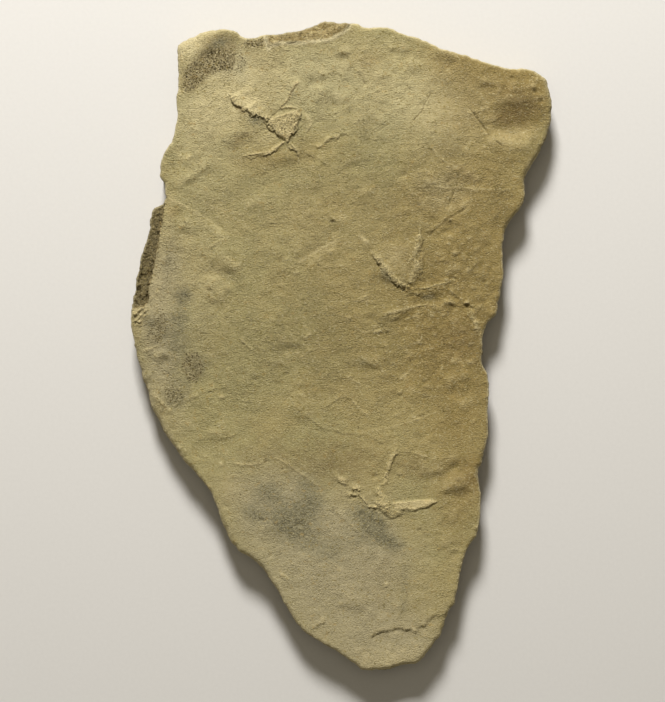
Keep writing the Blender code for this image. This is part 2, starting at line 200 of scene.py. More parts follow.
# One-sided steps, high on the left: height, how far the raised side fades back, raggedness, and the line.
STEPS = [
    (1.0, 3.2, 1.0, [
        (-34.7, 78.0), (-34.2, 77.3), (-33.6, 76.3), (-32.8, 75.5), (-31.9, 74.9), (-30.9, 74.3),
        (-30.1, 73.7), (-29.1, 73.2), (-28.1, 72.7), (-26.9, 72.2),
    ]),
    (0.62, 2.4, 1.0, [
        (-29.7, 73.7), (-28.1, 72.7), (-26.2, 71.8), (-24.7, 71.1), (-23.4, 70.7), (-21.9, 69.8),
    ]),
    (0.50, 2.0, 1.0, [(-23.6, 70.0), (-22.5, 68.7), (-20.9, 67.3), (-19.1, 65.6), (-17.2, 64.1)]),
    (0.45, 2.2, 1.0, [
        (-16.4, 63.6), (-15.6, 65.2), (-14.5, 67.0), (-13.2, 69.2), (-13.0, 71.4), (-13.1, 73.3),
    ]),
    (0.42, 1.4, 1.0, [(-16.4, 62.2), (-14.7, 60.8), (-12.7, 59.3)]),
    (0.32, 1.6, 1.0, [
        (-30.6, 58.7), (-28.1, 58.9), (-24.1, 59.6), (-21.6, 60.3), (-19.7, 61.3), (-18.0, 62.8),
    ]),
    (0.12, 3.0, 0.6, [(-12.2, 61.1), (-5.9, 57.7), (-1.6, 55.2)]),
    (0.46, 2.8, 1.0, [
        (9.4, 29.1), (11.1, 26.8), (12.8, 24.5), (14.7, 21.8), (17.2, 19.2), (19.4, 17.8), (21.9, 17.3),
    ]),
    (0.22, 2.2, 0.6, [(21.2, 18.3), (23.1, 20.0), (24.7, 22.2), (25.4, 24.8), (25.5, 28.0), (25.2, 31.1)]),
    (0.09, 2.4, 0.6, [(26.2, 17.0), (30.9, 18.4), (35.9, 20.2)]),
    (0.24, 2.0, 0.6, [(14.6, -39.5), (15.5, -37.3), (16.6, -35.2), (17.7, -33.0)]),
    (0.18, 2.0, 0.6, [
        (10.9, -48.3), (11.9, -50.8), (13.9, -52.3), (15.9, -53.7), (18.6, -53.0), (19.3, -51.5),
    ]),
    (0.14, 1.6, 0.6, [(19.4, -51.5), (23.3, -51.5), (26.4, -50.7), (28.1, -49.9), (30.0, -49.0)]),
    (0.14, 2.0, 1.0, [(1.4, -47.0), (3.1, -47.3), (5.3, -46.9)]),
    (0.26, 1.6, 0.6, [(-1.1, -42.3), (0.3, -43.2), (2.0, -43.4)]),
    (0.09, 2.0, 0.6, [(5.6, -48.1), (7.2, -49.7), (8.8, -50.8), (10.9, -51.2)]),
    (0.18, 3.5, 0.6, [(-31.8, 2.5), (-29.6, 0.0), (-27.4, -1.7)]),
    (0.16, 3.5, 0.6, [
        (-53.1, -20.5), (-52.0, -19.3), (-48.4, -17.2), (-44.5, -15.5), (-41.0, -14.2), (-38.2, -13.4),
    ]),
    (0.10, 3.0, 0.6, [(-38.2, -13.4), (-35.8, -13.9), (-33.1, -15.3), (-31.3, -17.2), (-27.0, -17.7)]),
    (0.28, 2.2, 0.6, [(-8.8, 62.3), (-6.6, 62.3), (-3.8, 64.5), (-0.9, 65.2), (3.1, 66.6)]),
    (0.14, 2.5, 0.6, [(4.0, 69.3), (5.3, 70.3), (8.3, 70.4)]),
    (0.14, 2.5, 0.6, [(5.0, 64.6), (6.9, 65.6), (9.7, 64.7), (11.6, 63.9)]),
    (0.09, 5.0, 0.6, [
        (20.6, 49.2), (27.8, 49.4), (32.7, 48.8), (39.4, 48.8), (46.1, 48.2), (52.8, 48.5), (55.8, 48.0),
    ]),
    (0.20, 1.6, 1.0, [(33.8, 17.0), (35.0, 16.1), (36.6, 15.3), (38.4, 13.2), (40.0, 12.3), (41.9, 11.5)]),
    (0.13, 1.2, 1.0, [(32.2, 13.0), (33.9, 13.5), (35.5, 12.5)]),
    (0.14, 3.0, 0.6, [(12.2, 9.2), (16.9, 10.2), (21.6, 11.4), (25.9, 12.7)]),
    (0.06, 2.5, 0.6, [(23.0, -34.0), (24.7, -34.8), (27.2, -35.6)]),
    (0.08, 3.5, 0.6, [(-24.7, 91.4), (-20.3, 93.4), (-12.8, 93.4), (-6.6, 94.2)]),
    (0.16, 2.5, 0.6, [(-18.8, 93.4), (-17.5, 92.5), (-15.9, 92.2)]),
    (0.14, 4.0, 0.6, [(-45.3, 6.2), (-43.4, 4.5), (-41.6, 3.4)]),
    (0.20, 2.0, 0.6, [(-49.8, 36.2), (-48.8, 37.5), (-47.5, 39.1)]),
    (0.12, 2.5, 0.6, [(-16.1, 24.7), (-15.3, 24.0), (-13.8, 23.5)]),
    (0.20, 3.0, 0.3, [(39.1, 71.7), (41.6, 72.8), (44.1, 73.3), (46.9, 74.4)]),
    (0.18, 2.5, 0.3, [(46.9, 70.2), (48.8, 70.6), (50.6, 72.5)]),
    (0.13, 2.5, 0.6, [(-5.3, -20.2), (-2.5, -17.7), (0.0, -16.2), (2.2, -16.3), (3.8, -17.3)]),
    (0.11, 3.5, 0.6, [
        (-13.1, -20.5), (-9.1, -23.6), (-5.3, -25.8), (-0.3, -27.0), (3.8, -27.7), (9.1, -28.3),
        (12.2, -30.2), (15.0, -32.5),
    ]),
    (0.12, 3.0, 0.6, [(-1.7, -52.3), (1.8, -54.8), (5.7, -59.2)]),
    (0.14, 2.5, 0.6, [(-38.8, -29.6), (-35.9, -28.8), (-32.7, -27.8)]),
    (0.22, 1.6, 0.6, [(-9.2, -89.2), (-7.2, -87.5), (-5.2, -86.2)]),
    (0.10, 2.5, 0.6, [(-19.2, -71.7), (-17.7, -72.7), (-16.2, -73.7)]),
    (0.12, 3.0, 0.6, [(17.8, -86.4), (19.7, -80.2), (21.6, -75.2)]),
    (0.15, 3.5, 0.6, [(-12.8, -4.5), (-10.9, -2.7), (-9.1, -1.1)]),
    (0.10, 2.5, 0.6, [(-11.7, 1.4), (-10.2, 3.1), (-9.1, 4.1)]),
]

# Narrow grooves: width, depth and line.
CRACKS = [
    (0.38, 0.34, [
        (-19.4, 74.1), (-18.1, 75.0), (-17.1, 75.8), (-16.4, 77.2), (-16.0, 78.3), (-15.4, 79.4),
        (-14.9, 80.2), (-13.9, 82.3),
    ]),
    (0.30, 0.35, [
        (26.2, 33.7), (27.7, 34.5), (28.8, 35.8), (30.0, 36.8), (31.2, 37.7), (32.8, 39.1), (34.7, 40.2),
        (36.6, 41.4), (38.4, 42.6), (40.3, 43.2),
    ]),
    (0.40, 0.22, [(24.1, 29.2), (25.2, 31.2), (26.1, 33.5)]),
    (0.22, 0.34, [
        (36.8, 54.7), (36.6, 52.7), (36.0, 49.6), (35.2, 47.8), (34.6, 46.2), (33.8, 44.4), (33.2, 42.0),
    ]),
    (0.24, 0.36, [(39.1, 74.5), (40.6, 73.5), (42.2, 71.4), (44.2, 69.0), (45.6, 66.9), (47.0, 65.2)]),
    (0.20, 0.26, [(47.0, 65.2), (48.4, 63.7), (49.9, 62.7), (51.2, 62.2)]),
    (0.22, 0.24, [
        (28.8, 81.1), (27.7, 78.3), (26.4, 76.2), (25.6, 74.5), (25.1, 73.1), (23.1, 70.9), (21.9, 69.5),
    ]),
    (0.20, 0.10, [(42.2, 70.2), (41.4, 67.7), (40.4, 65.3), (39.2, 63.0), (37.8, 60.8), (35.6, 59.5)]),
    (0.20, 0.08, [(26.4, 73.0), (26.1, 69.2), (25.6, 65.6)]),
    (0.30, 0.36, [(5.3, 84.9), (6.4, 84.2), (7.0, 83.0), (7.6, 81.6)]),
    (0.18, 0.10, [(16.4, 85.9), (17.8, 84.5), (19.3, 83.1), (20.6, 81.4), (21.9, 79.8)]),
    (0.16, 0.14, [(-4.1, 86.0), (-1.6, 86.1), (0.6, 85.9), (3.1, 85.5), (5.0, 85.0)]),
    (0.18, 0.16, [(8.3, 79.5), (8.6, 78.1), (9.1, 77.0), (10.6, 76.1), (12.2, 75.6), (14.7, 75.8)]),
    (0.32, 0.34, FLAKE_LINE[1:6]),
    (0.32, 0.38, [(26.5, -86.9), (28.4, -85.2), (31.4, -84.0)]),
    (0.20, 0.12, [(12.5, -98.6), (15.9, -99.1), (19.4, -98.1), (22.8, -98.4), (25.6, -96.7)]),
    (0.18, 0.10, [(14.7, -100.2), (18.4, -100.0), (22.2, -99.2)]),
    (0.20, 0.10, [(-6.2, -74.5), (-3.8, -76.4), (-0.9, -78.9)]),
    (0.30, 0.18, [(20.2, 15.0), (21.9, 15.8), (24.1, 15.3), (26.2, 14.7)]),
    (0.24, 0.16, [(-24.4, 69.7), (-23.4, 69.1), (-22.2, 69.3), (-21.1, 68.9)]),
    (0.18, 0.10, [(-34.1, 63.6), (-29.7, 65.0), (-24.7, 67.0), (-21.9, 68.1)]),
    (0.16, 0.10, [(17.8, -61.1), (20.9, -60.6), (23.8, -60.9)]),
    (0.24, 0.16, [(-48.8, 36.7), (-48.0, 38.1), (-47.0, 39.5)]),
    (0.20, 0.12, [(-19.7, -19.8), (-16.9, -16.4), (-13.8, -13.0)]),
    (0.22, 0.14, [(52.8, 63.0), (54.7, 63.8), (56.9, 64.8)]),
    (0.24, 0.18, [(21.6, -23.3), (23.8, -22.3), (26.2, -21.9)]),
    (0.16, 0.09, [(17.8, -33.6), (21.2, -33.9), (24.1, -34.7), (26.9, -36.1)]),
    (0.16, 0.09, [(23.3, -44.5), (24.5, -45.3), (25.6, -46.4)]),
    (0.18, 0.10, [
        (0.6, 86.4), (4.7, 85.0), (6.9, 83.3), (8.8, 78.3), (8.6, 71.1), (10.3, 67.3), (12.2, 64.2),
        (15.0, 60.2), (17.5, 56.4), (20.0, 50.5),
    ]),
    (0.30, 0.20, [(-21.7, 71.7), (-20.3, 72.8), (-18.8, 73.5)]),
    (0.30, 0.22, [(-9.8, 68.0), (-10.1, 67.0), (-10.7, 66.2)]),
    (0.14, 0.08, [(21.2, -69.5), (20.9, -72.0), (20.3, -73.9)]),
]

# Clefts and flakes on the ledge, below the face.
LEDGE_CRACKS = [
    (0.42, 0.55, [(-58.2, 27.5), (-58.9, 26.1), (-59.8, 25.0), (-60.6, 23.6), (-60.8, 22.3)]),
    (0.36, 0.50, [(-58.8, 24.2), (-59.4, 23.1), (-60.1, 22.3), (-60.4, 21.1)]),
    (0.36, 0.50, [(-60.2, 18.3), (-60.6, 16.9), (-61.1, 15.5), (-61.2, 14.2)]),
    (0.30, 0.35, [(-56.9, 41.1), (-58.0, 40.8), (-58.9, 41.1)]),
    (0.30, 0.35, [(-57.6, 36.7), (-58.8, 36.3), (-59.5, 36.5)]),
    (0.30, 0.30, [(-62.8, 19.8), (-63.2, 17.3), (-63.4, 14.8)]),
    (0.30, 0.30, [(-59.8, 31.7), (-60.9, 31.1), (-61.4, 29.8)]),
]
LEDGE_FLAKES = [
    (0.80, 0.50, 0.7, [(-65.0, 9.2), (-63.8, 10.5), (-62.5, 11.5), (-60.9, 12.0)]),
    (0.70, 0.45, 0.7, [(-64.7, 7.3), (-63.1, 8.6), (-61.6, 10.5), (-60.6, 11.4)]),
    (0.60, 0.40, 0.7, [(-63.4, 6.4), (-62.2, 8.0), (-60.9, 9.5)]),
    (0.40, 0.45, 0.8, [(-64.8, 13.3), (-64.4, 16.7), (-63.8, 20.5), (-62.8, 24.2), (-61.9, 28.0)]),
]

# Thin raised lines: half width, height and line.
RIDGES = [
    (0.35, 0.12, [
        (-33.6, -36.5), (-31.2, -37.1), (-29.1, -37.2), (-27.2, -36.9), (-25.1, -36.8), (-23.8, -36.0),
        (-22.2, -35.5),
    ]),
    (0.40, 0.15, [
        (-22.2, -35.5), (-20.3, -35.3), (-18.7, -35.8), (-17.2, -36.8), (-15.7, -37.7), (-13.9, -39.0),
        (-12.2, -40.2), (-10.6, -41.3), (-9.2, -42.3),
    ]),
    (0.35, 0.26, [(28.4, 61.9), (29.3, 60.7), (30.2, 59.3)]),
    (0.32, 0.16, [(31.1, 58.1), (33.0, 57.3), (34.7, 56.5), (36.7, 54.7)]),
    (0.30, 0.05, [
        (20.6, 49.8), (24.1, 49.7), (27.8, 50.0), (32.7, 49.4), (35.9, 49.6), (39.4, 49.4), (42.8, 49.0),
        (46.1, 48.8), (49.7, 48.8), (52.8, 49.1),
    ]),
    (0.50, 0.18, [
        (12.2, 9.7), (14.4, 9.8), (16.9, 10.6), (19.4, 11.2), (21.6, 11.9), (23.4, 12.2), (25.8, 13.1),
    ]),
    (0.35, 0.12, [(32.8, -63.7), (35.3, -63.6), (38.1, -63.7)]),
    (0.35, 0.05, [(22.5, -33.3), (24.7, -34.1), (27.2, -34.8)]),
    (0.55, 0.20, [(-12.2, 72.8), (-10.8, 71.8), (-9.8, 70.6), (-9.6, 69.0), (-10.6, 67.1)]),
    (0.60, 0.22, [(-59.5, -14.2), (-58.0, -16.2), (-56.2, -17.8), (-54.7, -19.4), (-53.1, -20.6)]),
    (0.45, 0.12, [(-19.2, -71.1), (-17.7, -72.0), (-16.2, -73.1)]),
    (0.45, 0.34, [(-6.9, 94.9), (-4.1, 95.3), (-1.6, 96.6), (1.2, 98.3)]),
    (0.50, 0.34, [(-22.8, 93.4), (-20.6, 94.2), (-15.9, 94.7), (-11.2, 94.8), (-6.9, 95.2)]),
    (0.55, 0.22, [(-62.8, -2.0), (-60.6, -1.3), (-58.4, -0.6), (-56.2, 0.2), (-54.7, 0.8)]),
    (0.45, 0.04, [(-14.4, 25.2), (-10.9, 27.5), (-7.2, 29.8), (-3.8, 31.7), (-0.3, 33.4)]),
    (0.32, 0.12, [(-44.1, 45.8), (-39.7, 43.3), (-35.9, 42.2), (-32.8, 41.4), (-30.0, 40.8)]),
    (0.36, 0.10, [(-54.7, 46.1), (-49.7, 43.9), (-43.4, 40.5), (-39.7, 37.7), (-35.3, 34.2)]),
    (0.34, 0.12, [(-33.8, -36.4), (-30.3, -37.3), (-26.9, -37.3)]),
    (0.30, 0.05, [(3.8, -27.7), (9.1, -26.7), (14.4, -25.8), (20.0, -24.2), (24.7, -22.7), (32.5, -19.8)]),
    (0.36, 0.14, [(-58.8, -14.5), (-56.6, -16.7), (-54.4, -18.9), (-52.5, -20.8)]),
    (0.35, 0.12, [(-11.6, 1.7), (-10.3, 3.0), (-9.2, 3.9)]),
    (0.40, 0.14, [(3.1, -16.4), (5.3, -19.2), (7.5, -21.1), (9.4, -22.3)]),
    (0.35, 0.10, [(1.6, -9.2), (4.1, -11.1), (6.6, -12.2)]),
    (0.35, 0.12, [(9.7, -3.6), (11.9, -5.8), (13.4, -8.3), (15.0, -9.8)]),
    (0.40, 0.12, [(17.8, -10.8), (20.3, -8.9), (22.5, -6.9)]),
    (0.35, 0.10, [(4.4, 5.5), (7.2, 4.2), (10.0, 4.7), (13.1, 3.9)]),
    (0.35, 0.10, [(3.4, 13.3), (6.6, 14.2), (10.3, 13.0)]),
    (0.40, 0.14, [(19.7, 7.8), (22.5, 9.1), (25.0, 10.5)]),
    (0.35, 0.10, [(16.9, -1.4), (20.3, -0.2), (23.8, 0.8), (27.8, 0.5)]),
    (0.40, 0.10, [(-42.5, 29.8), (-39.1, 32.0), (-35.3, 33.4)]),
    (0.35, 0.09, [(-4.4, -67.0), (-1.6, -68.6), (0.3, -70.8)]),
]

# Soft folds, which fall towards their right: width, height and line.
FOLDS = [
    (1.1, 0.32, [(-54.1, 47.3), (-49.7, 49.5), (-45.3, 52.8), (-41.9, 55.5), (-38.4, 58.0)]),
    (1.4, 0.30, [(-37.8, 61.1), (-34.7, 62.7), (-31.6, 64.2), (-29.1, 65.8), (-26.9, 67.2)]),
    (1.0, 0.14, [(-35.9, 61.4), (-39.7, 59.2), (-43.1, 56.7), (-47.2, 53.9), (-50.9, 51.4)]),
    (1.2, 0.32, [(-14.7, 81.4), (-11.9, 83.0), (-8.4, 83.8), (-5.3, 83.7), (-2.2, 83.0)]),
    (1.2, 0.26, [(-4.7, 79.5), (-2.5, 77.2), (-0.9, 75.5), (0.6, 73.9)]),
    (0.9, 0.22, [(-0.9, 90.0), (1.2, 90.8), (3.4, 90.3)]),
    (1.0, 0.20, [(4.1, 87.3), (0.9, 88.0), (-2.5, 87.2)]),
    (1.0, 0.26, [(12.8, 91.1), (16.2, 92.2), (19.7, 92.3), (23.4, 91.9)]),
    (1.3, 0.34, [(28.4, 91.9), (31.6, 90.6), (34.7, 89.2), (38.1, 88.0)]),
    (1.2, 0.22, [(27.2, 87.3), (23.1, 89.2), (18.4, 89.8)]),
    (0.9, 0.26, [(42.2, 79.8), (44.7, 81.1), (47.8, 81.5), (50.9, 80.8)]),
    (1.9, 0.34, [(45.3, 75.5), (49.7, 75.8), (54.1, 75.2), (59.1, 73.6)]),
    (1.9, 0.46, [(62.2, 64.8), (57.2, 64.4), (52.2, 65.2), (47.8, 67.0), (44.7, 69.5)]),
    (1.3, 0.34, [(32.2, 56.1), (35.3, 54.7), (38.4, 52.8), (41.6, 50.8), (44.7, 48.9)]),
    (1.1, 0.22, [(39.4, 56.1), (35.3, 57.2), (30.9, 56.9)]),
    (1.4, 0.14, [
        (21.2, 31.9), (24.4, 33.6), (27.8, 35.5), (31.2, 37.5), (34.7, 39.7), (37.8, 41.4), (40.9, 42.7),
    ]),
    (1.6, 0.26, [(42.8, 46.7), (38.4, 45.5), (34.1, 43.6), (30.3, 41.1)]),
    (1.4, 0.18, [(3.4, 37.7), (0.3, 35.3), (-2.8, 32.7), (-6.6, 29.4), (-10.3, 26.4), (-14.1, 24.2)]),
    (1.3, 0.14, [(-17.2, 27.7), (-13.4, 29.1), (-9.7, 30.8), (-5.9, 33.0)]),
    (1.0, 0.20, [(-31.6, 32.3), (-35.3, 34.1), (-39.7, 37.5), (-43.4, 40.5), (-47.8, 43.6)]),
    (1.5, 0.30, [(-42.2, 29.2), (-39.7, 27.5), (-36.6, 25.0), (-33.4, 22.8), (-30.3, 20.9)]),
    (1.5, 0.26, [(-31.6, 18.3), (-35.3, 20.0), (-39.7, 21.7), (-43.4, 24.8)]),
    (1.1, 0.26, [(-50.3, 37.3), (-48.4, 35.8), (-45.9, 33.4)]),
    (1.3, 0.20, [(19.1, 14.1), (22.2, 14.8), (26.2, 15.6), (30.3, 16.5), (33.8, 17.8), (37.2, 19.7)]),
    (1.0, 0.16, [(35.9, 14.2), (30.9, 13.3), (25.9, 13.4), (20.9, 12.8)]),
    (1.2, 0.26, [(13.4, 7.2), (17.2, 8.3), (20.9, 9.1), (24.7, 9.4)]),
    (1.2, 0.30, [(9.7, 24.8), (12.2, 22.5), (15.0, 20.0), (17.8, 17.7)]),
    (1.1, 0.22, [(30.3, 20.2), (33.1, 21.4), (35.9, 23.4), (38.1, 25.2)]),
    (1.2, 0.34, [(-49.7, 84.2), (-47.2, 87.3), (-44.1, 90.3), (-40.3, 93.0), (-35.9, 95.3)]),
    (1.2, 0.26, [(-59.7, -5.2), (-56.6, -4.1), (-52.8, -2.7)]),
    (1.1, 0.22, [(-52.8, -1.1), (-56.6, -2.0), (-60.3, -3.3)]),
    (1.3, 0.32, [(3.1, -3.6), (6.2, -4.8), (10.3, -6.6), (14.4, -8.1)]),
    (0.9, 0.18, [(-21.6, -0.9), (-17.8, -0.5), (-14.4, 0.3), (-11.6, 1.6)]),
    (1.3, 0.26, [(42.2, -37.3), (38.1, -38.9), (34.1, -40.3), (29.7, -41.4)]),
    (1.2, 0.34, [(29.7, -46.9), (33.4, -46.1), (37.5, -45.0), (41.9, -43.0)]),
    (1.2, 0.24, [(20.6, -40.8), (25.0, -40.6), (29.7, -40.0), (34.7, -37.7), (41.6, -33.0)]),
    (1.2, 0.14, [(34.1, 10.8), (37.5, 12.0), (40.6, 11.7), (43.1, 10.2)]),
    (1.5, 0.20, [(-3.4, 38.6), (0.3, 37.0), (3.4, 35.8)]),
    (1.6, 0.20, [(-24.7, 55.5), (-20.3, 57.0), (-15.3, 57.7), (-11.6, 56.1)]),
    (1.6, 0.20, [(-45.3, 16.1), (-39.7, 14.2), (-33.4, 13.0)]),
    (1.4, 0.18, [(-31.6, 41.7), (-26.6, 43.0), (-21.6, 43.6)]),
    (1.3, 0.18, [(-14.1, 46.7), (-9.1, 48.6), (-4.1, 49.2)]),
    (1.3, 0.18, [(3.4, 46.7), (9.1, 45.5), (14.7, 45.5)]),
    (1.2, 0.16, [(-1.6, 55.5), (3.4, 57.0), (8.4, 57.3)]),
    (1.3, 0.18, [(15.3, 70.5), (12.2, 72.3), (10.3, 75.5)]),
    (1.5, 0.20, [(-59.7, 4.8), (-57.2, 7.3), (-53.4, 9.2)]),
    (1.4, 0.16, [(-15.9, -23.3), (-11.6, -22.3), (-7.8, -23.6)]),
    (1.6, 0.18, [(-49.1, -28.6), (-45.3, -29.5), (-41.6, -29.7), (-36.6, -28.6), (-31.6, -27.0)]),
    (1.4, 0.16, [(15.9, -18.3), (21.6, -16.4), (27.8, -16.4), (34.1, -18.3)]),
    (1.3, 0.22, [(31.2, -14.8), (34.7, -13.3), (38.4, -11.1), (43.4, -9.5)]),
    (1.2, 0.22, [(42.8, -14.5), (39.1, -15.8), (34.7, -17.7)]),
    (1.6, 0.16, [(28.4, -63.3), (32.8, -64.1), (37.8, -63.9)]),
    (1.5, 0.16, [(39.1, -51.1), (35.9, -50.2), (32.8, -52.3), (30.6, -56.1)]),
    (1.6, 0.16, [(-28.4, -60.8), (-22.2, -58.9), (-15.9, -58.9)]),
    (1.8, 0.18, [(-3.4, -79.5), (3.4, -81.4), (10.3, -82.0)]),
]

# Broad swells of the face: place, two half lengths, turn in degrees, height.
SWELLS = [
    (-39.4, 70.5, 14.0, 8.0, 30.0, 0.27),
    (-22.2, 83.6, 10.0, 6.0, 20.0, 0.15),
    (16.9, 89.2, 14.0, 7.0, -12.0, 0.21),
    (30.9, 67.3, 10.0, 12.0, 20.0, 0.21),
    (55.9, 78.0, 9.0, 4.4, 4.0, 0.55),
    (55.9, 68.6, 9.0, 3.4, 6.0, -0.72),
    (53.4, 62.3, 9.0, 3.6, 8.0, 0.36),
    (18.4, 26.1, 7.0, 6.0, 0.0, 0.68),
    (2.8, 51.7, 16.0, 10.0, 10.0, 0.12),
    (-34.7, 33.0, 14.0, 12.0, 0.0, 0.12),
    (-37.8, 4.8, 12.0, 14.0, 0.0, 0.12),
    (-6.6, 4.8, 18.0, 14.0, 0.0, 0.12),
    (30.9, -23.3, 12.0, 16.0, 0.0, 0.15),
    (-12.8, -17.0, 16.0, 12.0, 20.0, 0.11),
    (27.8, -57.7, 9.0, 12.0, 10.0, 0.15),
    (-3.4, -67.0, 12.0, 12.0, 0.0, 0.12),
    (18.4, -82.7, 12.0, 8.0, 0.0, 0.21),
    (40.3, 23.6, 8.0, 12.0, 0.0, -0.15),
    (-29.7, 63.6, 7.0, 4.0, 25.0, -0.15),
]

# Single bumps and pits: place, radius, height.
DOTS = [
    (-2.6, 38.8, 0.75, -0.65), (-2.1, 39.4, 0.6, 0.35), (44.8, 20.0, 0.5, -0.6), (45.5, 19.1, 0.4, 0.35),
    (41.2, 18.0, 0.6, 0.3), (41.7, 17.2, 0.45, -0.3), (42.2, 19.0, 0.4, -0.3), (39.2, 12.8, 0.5, -0.2),
    (40.8, 11.6, 0.5, -0.2), (37.7, 14.7, 0.6, 0.25), (39.5, 13.3, 0.6, 0.25), (33.9, 13.4, 1.0, 0.35),
    (34.4, 12.7, 0.7, -0.25), (28.1, 9.5, 1.3, 0.40), (27.3, 9.4, 0.6, -0.35), (28.8, 9.8, 0.5, -0.2),
    (2.2, 8.9, 1.1, 0.25), (2.0, 9.4, 0.6, -0.2), (7.7, 15.0, 1.2, 0.30), (8.1, 14.4, 0.8, -0.2),
    (35.0, -4.8, 1.2, 0.35), (34.7, -4.4, 0.5, -0.2), (40.3, -5.2, 1.3, 0.35), (35.6, 28.9, 0.9, 0.35),
    (39.8, 23.6, 1.2, 0.35), (41.6, 25.3, 0.8, 0.25), (34.1, 33.9, 0.9, 0.30), (32.2, 35.6, 0.8, -0.25),
    (29.7, 14.2, 1.4, -0.25), (42.2, 30.2, 0.8, 0.20), (3.4, 21.1, 1.0, 0.20), (12.0, 4.5, 1.1, 0.30),
    (12.5, 3.8, 0.7, -0.15), (29.1, 3.6, 1.0, 0.25), (24.7, 1.4, 1.1, 0.28), (28.1, -0.2, 0.8, -0.2),
    (20.9, -2.3, 0.9, 0.2), (17.8, -0.5, 0.7, 0.2), (31.6, -7.0, 1.0, 0.22), (38.1, 4.8, 1.0, 0.3),
    (42.5, 7.3, 1.1, 0.28), (41.9, 5.2, 0.7, 0.2), (43.4, 12.3, 0.9, 0.25), (45.9, 16.1, 0.8, 0.2),
    (37.2, 0.2, 0.8, 0.2), (18.1, -39.8, 0.45, 0.5), (19.7, -40.3, 0.4, 0.2), (16.6, -40.2, 0.5, -0.15),
    (12.0, 27.2, 0.5, 0.5), (11.2, 26.5, 0.35, 0.3), (14.1, 24.5, 0.4, 0.35), (14.7, 23.8, 0.45, 0.45),
    (15.7, 23.0, 0.35, 0.3), (16.2, 21.4, 0.35, 0.3), (17.2, 20.5, 0.45, 0.45), (18.1, 19.5, 0.4, 0.4),
    (19.3, 18.7, 0.4, 0.4), (20.1, 19.1, 0.35, 0.3), (21.1, 18.3, 0.4, 0.35), (22.3, 32.3, 0.35, 0.3),
    (23.1, 29.2, 0.4, 0.4), (22.7, 28.1, 0.4, 0.35), (21.6, 26.8, 0.45, 0.4), (24.7, 24.2, 0.4, 0.4),
    (23.9, 25.3, 0.35, 0.35), (22.3, 24.8, 0.4, 0.35), (23.6, 31.1, 0.35, 0.3), (22.8, 23.4, 0.4, 0.35),
    (24.5, 26.1, 0.45, -0.3), (23.9, 27.0, 0.4, -0.25), (24.1, 23.3, 0.45, -0.3),
    (22.3, 26.1, 0.35, -0.25), (23.1, 24.7, 0.35, -0.25), (22.8, 20.7, 0.45, -0.3),
    (19.6, 17.5, 0.6, -0.35), (14.4, 21.9, 0.6, -0.3), (11.9, 24.7, 0.45, -0.25), (17.0, 18.6, 0.4, -0.2),
    (3.9, -44.8, 0.35, 0.4), (4.9, -44.6, 0.4, 0.4), (5.7, -45.3, 0.35, 0.35), (3.2, -46.4, 0.35, 0.35),
    (4.4, -46.7, 0.35, 0.35), (5.5, -46.4, 0.35, 0.35), (3.9, -47.5, 0.55, -0.25),
    (2.3, -31.9, 0.6, -0.25), (-50.0, 80.3, 0.6, -0.3), (-44.5, 61.1, 0.5, -0.25),
    (-44.4, 55.5, 0.6, -0.35), (-45.6, 57.0, 0.4, -0.2), (-24.2, 50.3, 0.6, -0.35),
    (-45.2, 51.4, 0.5, -0.2), (-39.1, 69.8, 0.6, 0.15), (-38.4, 70.3, 0.5, -0.2),
    (-49.4, 37.3, 0.6, 0.25), (-22.2, 70.2, 0.45, -0.2), (25.0, 75.5, 0.5, -0.3),
    (24.4, 74.7, 0.4, -0.25), (21.6, 80.2, 0.4, -0.25), (38.8, 86.7, 0.6, -0.2), (44.7, 87.7, 0.6, -0.2),
    (53.4, 83.6, 0.5, -0.25), (50.6, 80.0, 0.6, -0.25), (51.9, 77.8, 0.9, 0.3), (49.4, 79.5, 0.8, 0.3),
    (49.7, 78.6, 0.6, -0.2), (38.9, 66.2, 0.45, -0.25), (35.3, 61.2, 0.4, 0.2), (28.4, 50.7, 0.9, -0.2),
    (27.8, 51.0, 0.9, 0.25), (28.3, 53.4, 0.8, 0.2), (34.5, 52.0, 0.6, -0.25), (34.2, 49.8, 0.5, -0.3),
    (60.6, 79.5, 0.9, -0.5), (60.0, 81.4, 1.0, 0.35), (62.5, 76.4, 0.7, -0.5), (61.2, 83.0, 0.8, 0.3),
    (15.6, 49.4, 0.6, -0.25), (35.9, 28.8, 0.8, 0.2), (30.6, 28.3, 0.8, 0.2), (40.3, 33.6, 1.0, 0.2),
    (43.4, 35.8, 0.9, -0.12), (-16.6, -3.3, 0.9, 0.15), (-22.8, -4.8, 0.8, 0.15),
    (-12.2, -4.5, 0.8, 0.15), (-9.1, -13.3, 0.5, -0.25), (-17.0, -8.9, 0.6, -0.3),
    (-13.0, -18.1, 0.5, -0.3), (0.9, -32.3, 0.5, -0.25), (-12.8, -11.7, 0.8, 0.14),
    (-9.4, 14.2, 0.5, -0.25), (-13.1, 12.3, 0.5, 0.2), (-26.9, 41.2, 0.6, -0.2), (-29.4, 41.7, 0.8, 0.15),
    (-18.8, 18.9, 0.7, 0.18), (-17.2, 26.9, 0.8, 0.16), (-18.8, 26.1, 0.6, -0.15),
    (-5.9, 46.1, 0.5, -0.25), (-10.0, 43.6, 0.7, -0.18), (-24.7, 50.8, 0.6, 0.2), (-7.2, 44.5, 0.6, 0.18),
    (-3.4, 29.2, 0.8, 0.2), (2.5, 30.8, 0.6, 0.18), (-0.3, 27.3, 0.6, -0.15), (-35.6, -50.5, 0.7, -0.15),
    (-36.2, -51.1, 0.7, 0.15), (-11.9, -57.3, 0.5, 0.2), (-12.8, -58.0, 0.4, -0.2),
    (-1.6, -65.5, 0.5, -0.25), (-1.2, -66.1, 0.4, 0.15), (-5.6, -85.6, 0.9, 0.25),
    (36.6, -23.6, 0.7, 0.15), (15.9, -26.7, 0.4, -0.25), (2.5, -21.7, 0.8, 0.12),
]

